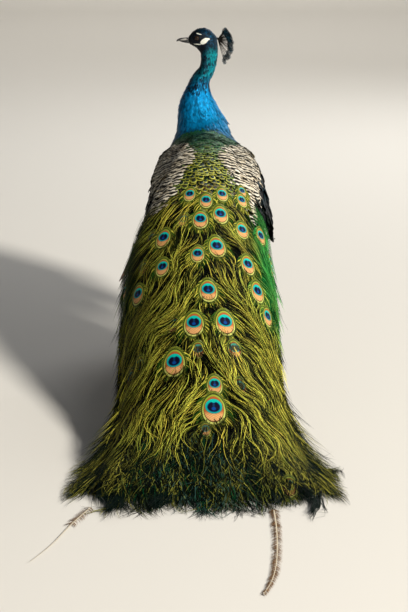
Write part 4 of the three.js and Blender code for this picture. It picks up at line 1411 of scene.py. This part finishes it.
def grow(label, p, n, uv, kind, material):
    """Feathers of one kind on those points, where the skin doesn't face along them too steeply."""
    lie = kind["lie"]
    index = np.nonzero(np.abs(np.sum(unit(lie(p)) * n, axis=1)) < kind.get("steepest", 0.80))[0]
    index = index[spaced(p[index], sized(p[index], kind["gap"]))]
    p, n, uv, count = p[index], n[index], uv[index], len(index)
    over = flatten(lie(p) + random((count, 3), -0.12, 0.12), n)
    length = sized(p, kind["length"]) * random(count, 0.85, 1.15)
    width = sized(p, kind["width"]) * random(count, 0.9, 1.1)
    lift = random(count, *kind["lift"])
    return scatter(label, kind["vane"], p, over, n, length, width, lift, kind["droop"], random(count), uv,
                   material)


def coat(ground, paints):
    p, n, uv, name = ground.sample(ROOTS_TRIED)
    for label, mask in regions(p, n, name).items():
        kind = COAT[label]
        obj = grow(label, p[mask], n[mask], uv[mask], kind, paints[kind["paint"]])


# ---------------------------------------------------------------- long feathers of the wings and tail
def long_feathers(name, root, tip, facing, width, lift, droop, colour, material):
    """Long feathers from root to tip, whose upper faces look as near to facing as they can."""
    count, way = len(root), tip - root
    out = flatten(facing, unit(way))
    return scatter(name, LONG, root, unit(way), out, np.linalg.norm(way, axis=1), width, lift, droop,
                   random(count), 0.2 + 0.6 * random((count, 2)), material, tints=colour, patch=WIDE_PATCH)


def primaries(material):
    """A closed stack of chestnut flight feathers under each wing."""
    share = np.linspace(0, 1, 9)
    for (side, name), splay in zip(SIDES, (-0.006, 0.036)):
        root = np.stack([0.108 + 0.008 * share, 0.015 - 0.10 * share, 0.322 - 0.012 * share], axis=1)
        spread = 0.138 + 0.012 * share + splay * (0.5 + 0.5 * share)
        tip = np.stack([spread, -0.235 - 0.085 * share, 0.262 - 0.060 * share], axis=1)
        root[:, 0] *= side
        tip[:, 0] *= side
        facing = np.array([side, 0, 0.18])
        obj = long_feathers(f"primaries_{name}", root, tip, facing, 0.034, 0.004 * share, 0.0,
                            (0.25, 0.085, 0.025), material)
        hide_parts(f"wing_flight_{name}")


def tail_feathers(material):
    """The stiff brown tail that props the train from below."""
    count, start = 18, -0.238
    spread = np.linspace(-1, 1, count)
    length = 0.360 - 0.050 * spread**2
    droop = 0.013 + 0.007 * np.abs(spread)
    root = np.stack([0.014 * spread, np.full(count, start), 0.318 - droop], axis=1)
    tip = np.stack([0.082 * spread, start - length, 0.156 - 0.010 * spread**2 - droop], axis=1)
    facing = flatten(UP, unit(tip - root)) + np.outer(0.35 * spread, (1, 0, 0))
    obj = long_feathers("tail", root, tip, facing, 0.042, 0.0, -0.02, (0.085, 0.055, 0.032), material)
    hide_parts("tail")


# Lines on the floor that trail past the train's end: x and y from the root to the tip.
TRAILING = {
    "trailing_feather": [(0.122, -1.09), (0.124, -1.18), (0.120, -1.29), (0.110, -1.37), (0.090, -1.43)],
    "trailing_shaft": [(-0.196, -1.085), (-0.226, -1.16), (-0.252, -1.245), (-0.284, -1.315)],
}
# How many worn barbs each has, on how much of its 60 steps, and their length.
WORN = {"trailing_feather": (620, 58, 0.0100), "trailing_shaft": (90, 20, 0.012)}


def trailing(material):
    """A worn barbed feather and a bare shaft that trail past the train's end."""
    steps = 60
    for name, knots in TRAILING.items():
        path = curve_through(np.array(knots), steps)
        path = [np.convolve(np.pad(column, 6, mode="edge"), np.ones(13) / 13, "valid") for column in path.T]
        centre = np.stack([*path, np.full(steps, 0.003)], axis=1)
        way = unit(np.gradient(centre, axis=0))
        side = np.cross(way, UP)
        widths = np.linspace(0.0024, 0.0008, steps)
        shaft = ribbons(name, centre[None], side[None], widths, np.array([[0.5, 0.5]]), 1.0,
                        (0.66, 0.58, 0.44), material)
        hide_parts(name)
        worn_barbs(name, centre, way, side, material)


def worn_barbs(name, centre, way, side, material):
    """Short barbs on both sides of a shaft on the floor."""
    count, run, longest = WORN[name]
    at = random(count, 0, run)
    low = at.astype(int)
    start, along = centre[low] + (centre[low + 1] - centre[low]) * (at - low)[:, None], way[low]
    hand = one_side(count)[:, None]
    reach = longest * (1 - 0.6 * (at / len(centre)) ** 3) * random(count, 0.7, 1.1)
    lines = np.empty((count, len(WORN_TAPER), 3))
    for k, t in stations(len(WORN_TAPER)):
        forward = along * (reach * (0.4 * t + 0.5 * t * t))[:, None]
        lines[:, k] = start + side[low] * hand * (reach * t)[:, None] + forward
        lines[:, k, 2] = 0.003 + 0.0015 * t * (1 - t) - 0.0012 * t
    tints = blend((0.09, 0.045, 0.016), (0.24, 0.13, 0.055), random(count))[:, None]
    places = 0.5 + random((count, 2), -0.4, 0.4)
    return ribbons(f"{name}_barbs", lines, (along * -hand)[:, None], 0.0011 * WORN_TAPER, places,
                   random(count), tints, material)


def crest(material):
    """Bare shafts that fan out from the crown, with a spade at each tip."""
    count = CREST_FEATHERS
    share = np.linspace(0, 1, count)
    angle = np.radians(52 - 126 * share + random(count, -2, 2))
    tip = (0.033 + 0.030 * share**2.2) * random(count, 0.94, 1.03)
    lean = 0.0045 * np.sin(np.arange(count) * 2.4)
    way = np.stack([np.cos(angle), lean / tip, np.sin(angle)], axis=1)
    side = unit(np.cross(way, (0, 1.0, 0)))
    places = np.stack([share, np.full(count, 0.5)], axis=1)
    lines = CREST_ROOT + way[:, None] * (tip[:, None, None] - 0.008) * np.linspace(-0.10, 1, 6)[:, None]
    shafts = ribbons("crest_shafts", lines, side[:, None], np.array([0.0013]), places, share,
                     (0.008, 0.007, 0.006), material)
    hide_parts("crest")
    spades(way, side, tip, places, material)


def spades(way, side, tip, places, material):
    """The small dark vanes at the tips of the crest feathers."""
    barbs, steps = 26, len(SPADE_TAPER)
    of = np.repeat(np.arange(len(way)), barbs)
    along = np.tile(np.linspace(0, 1, barbs), len(way))
    edge = np.where(np.arange(len(of)) % 2 == 0, 1.0, -1.0)
    half = 0.0056 * np.sin(np.pi * np.clip(along * 0.62 + 0.30, 0, 1)) * random(len(of), 0.75, 1.1)
    start = CREST_ROOT + way[of] * (tip[of] - 0.0165 + 0.0155 * along)[:, None]
    lines = np.empty((len(of), steps, 3))
    for k in range(steps):
        reach = half * k / (steps - 1)
        lines[:, k] = start + side[of] * (edge * reach)[:, None] + way[of] * (reach * 0.9)[:, None]
    tone = random(len(of))
    tints = blend((0.004, 0.006, 0.008), (0.005, 0.045, 0.075), ease(tone, 0.55, 1.0))[:, None]
    across = (way[of] * -edge[:, None])[:, None]
    return ribbons("crest_vanes", lines, across, 0.0010 * SPADE_TAPER, places[of], tone, tints, material)


# ---------------------------------------------------------------- head, legs
def eyes(material):
    for side, name in SIDES:
        ball = bmesh.new()
        bmesh.ops.create_uvsphere(ball, u_segments=32, v_segments=16, radius=EYE_RADIUS)
        bmesh.ops.translate(ball, verts=ball.verts, vec=Vector(EYE_AT + (0, side * EYE_OUT, 0) + DATUM))
        mesh = bpy.data.meshes.new(f"eye_{name}")
        ball.to_mesh(mesh)
        ball.free()
        dress(mesh, material)
        obj = add_object(f"eye_{name}", mesh)
        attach(obj, "root")
        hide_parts(f"eye_{name}")


def bills(material):
    """The bill's two halves, drawn in towards the line between them and lifted a little at the tip."""
    for name, closing in (("bill_upper", 0.18), ("bill_lower", 0.30)):
        obj = smoothed(name, [name], 0.0006, 3, material)
        p = points_of(obj.data)
        p[:, 2] += 0.0022 * ease(-p[:, 0], 0.036, 0.068) + (GAPE - p[:, 2]) * closing
        move_points(obj.data, p)


def legs(leg_material, claw_material):
    for name in ("left", "right"):
        leg = smoothed(f"leg_{name}", [f"shank_{name}", f"foot_{name}"], 0.0013, 3, leg_material)
        horns = [f"claw_{toe}_{name}" for toe in ("middle", "inner", "outer", "hind")] + [f"spur_{name}"]
        obj = smoothed(f"claws_{name}", horns, 0.0006, 2, claw_material)


# ---------------------------------------------------------------- room and camera
def room():
    """A pale floor that curves up into a wall far behind the bird."""
    start, bend, radius, top, half, sunk = -12.0, 8.0, 1.5, 9.0, 14.0, 0.0002
    turns = np.radians(np.arange(5, 91, 5))
    curve = [(bend + radius * math.sin(a), radius - radius * math.cos(a)) for a in turns]
    run = [(start, 0.0), (bend, 0.0), *curve, (bend + radius, top)]
    points = np.array([(x, y, z) for y, z in run for x in (-half, half)]) - (0, 0, sunk)
    mesh = bpy.data.meshes.new("floor")
    mesh.from_pydata((points + DATUM).tolist(), [], grid_faces(len(run) - 1, 1).tolist())
    dress(mesh, Paint("floor").finish((0.74, 0.72, 0.68), roughness=0.9, specular=0.2))
    add_object("floor", mesh)


def lamp(name, place, aim, size, power, colour):
    data = bpy.data.lights.new(name, "AREA")
    data.shape, data.size, data.energy, data.color = "DISK", size, power, colour
    obj = add_object(name, data)
    obj.location = Vector(np.array(place) + DATUM)
    obj.rotation_euler = (Vector(aim) - Vector(place)).to_track_quat("-Z", "Y").to_euler()


def light():
    lamp("key", (5.9, -5.3, 4.7), (0, -0.4, 0.3), 1.6, 1300.0, (1.0, 0.95, 0.86))
    lamp("fill", (-3.0, -2.6, 2.2), (0, -0.4, 0.3), 3.0, 1.5, (0.86, 0.93, 1.0))
    lamp("rim", (1.2, 3.0, 2.6), (0, 0.0, 0.4), 1.5, 50.0, (1.0, 1.0, 1.0))
    lamp("backdrop", (0.0, 5.5, 5.0), (0, 9.0, 0.8), 3.0, 110.0, (1.0, 0.96, 0.90))
    world = bpy.data.worlds.new("soft sky")
    world.use_nodes = True
    sky = world.node_tree.nodes["Background"].inputs
    sky["Color"].default_value = (0.84, 0.90, 1.0, 1.0)
    sky["Strength"].default_value = 0.07
    bpy.context.scene.world = world
    bpy.context.scene.view_settings.view_transform = "Standard"


def camera():
    data = bpy.data.cameras.new("camera")
    data.lens, data.sensor_width = CAMERA["lens"], CAMERA["sensor"]
    obj = add_object("camera", data)
    obj.location = Vector(np.array(CAMERA["place"]) + DATUM)
    obj.rotation_euler = (math.radians(90 - CAMERA["tilt_down"]), 0, 0)
    bpy.context.scene.camera = obj


# ---------------------------------------------------------------- the bird
camera()
light()
room()
strand, small, flight = strand_paint(), small_paint(), flight_paint()
skin = make_skin(skin_paint())
paints = {"small": small, "mantle": mantle_paint(), "barred": barred_paint(), "covert": covert_paint(),
          "down": down_paint()}
coat(Ground(skin, FLESH), paints)
eyes_of_train = train_eyes_list()
make_mat(shaded_mat_paint())
train_barbs(eyes_of_train, strand)
train_eyes(eyes_of_train, spot_paint(), strand)
side_wisps(strand)
under_shafts(strand)
under_barbs(strand)
floor_fringe(strand)
primaries(flight)
tail_feathers(flight)
trailing(strand)
crest(strand)
eyes(eye_paint())
bills(bill_paint())
legs(leg_paint(), claw_paint())
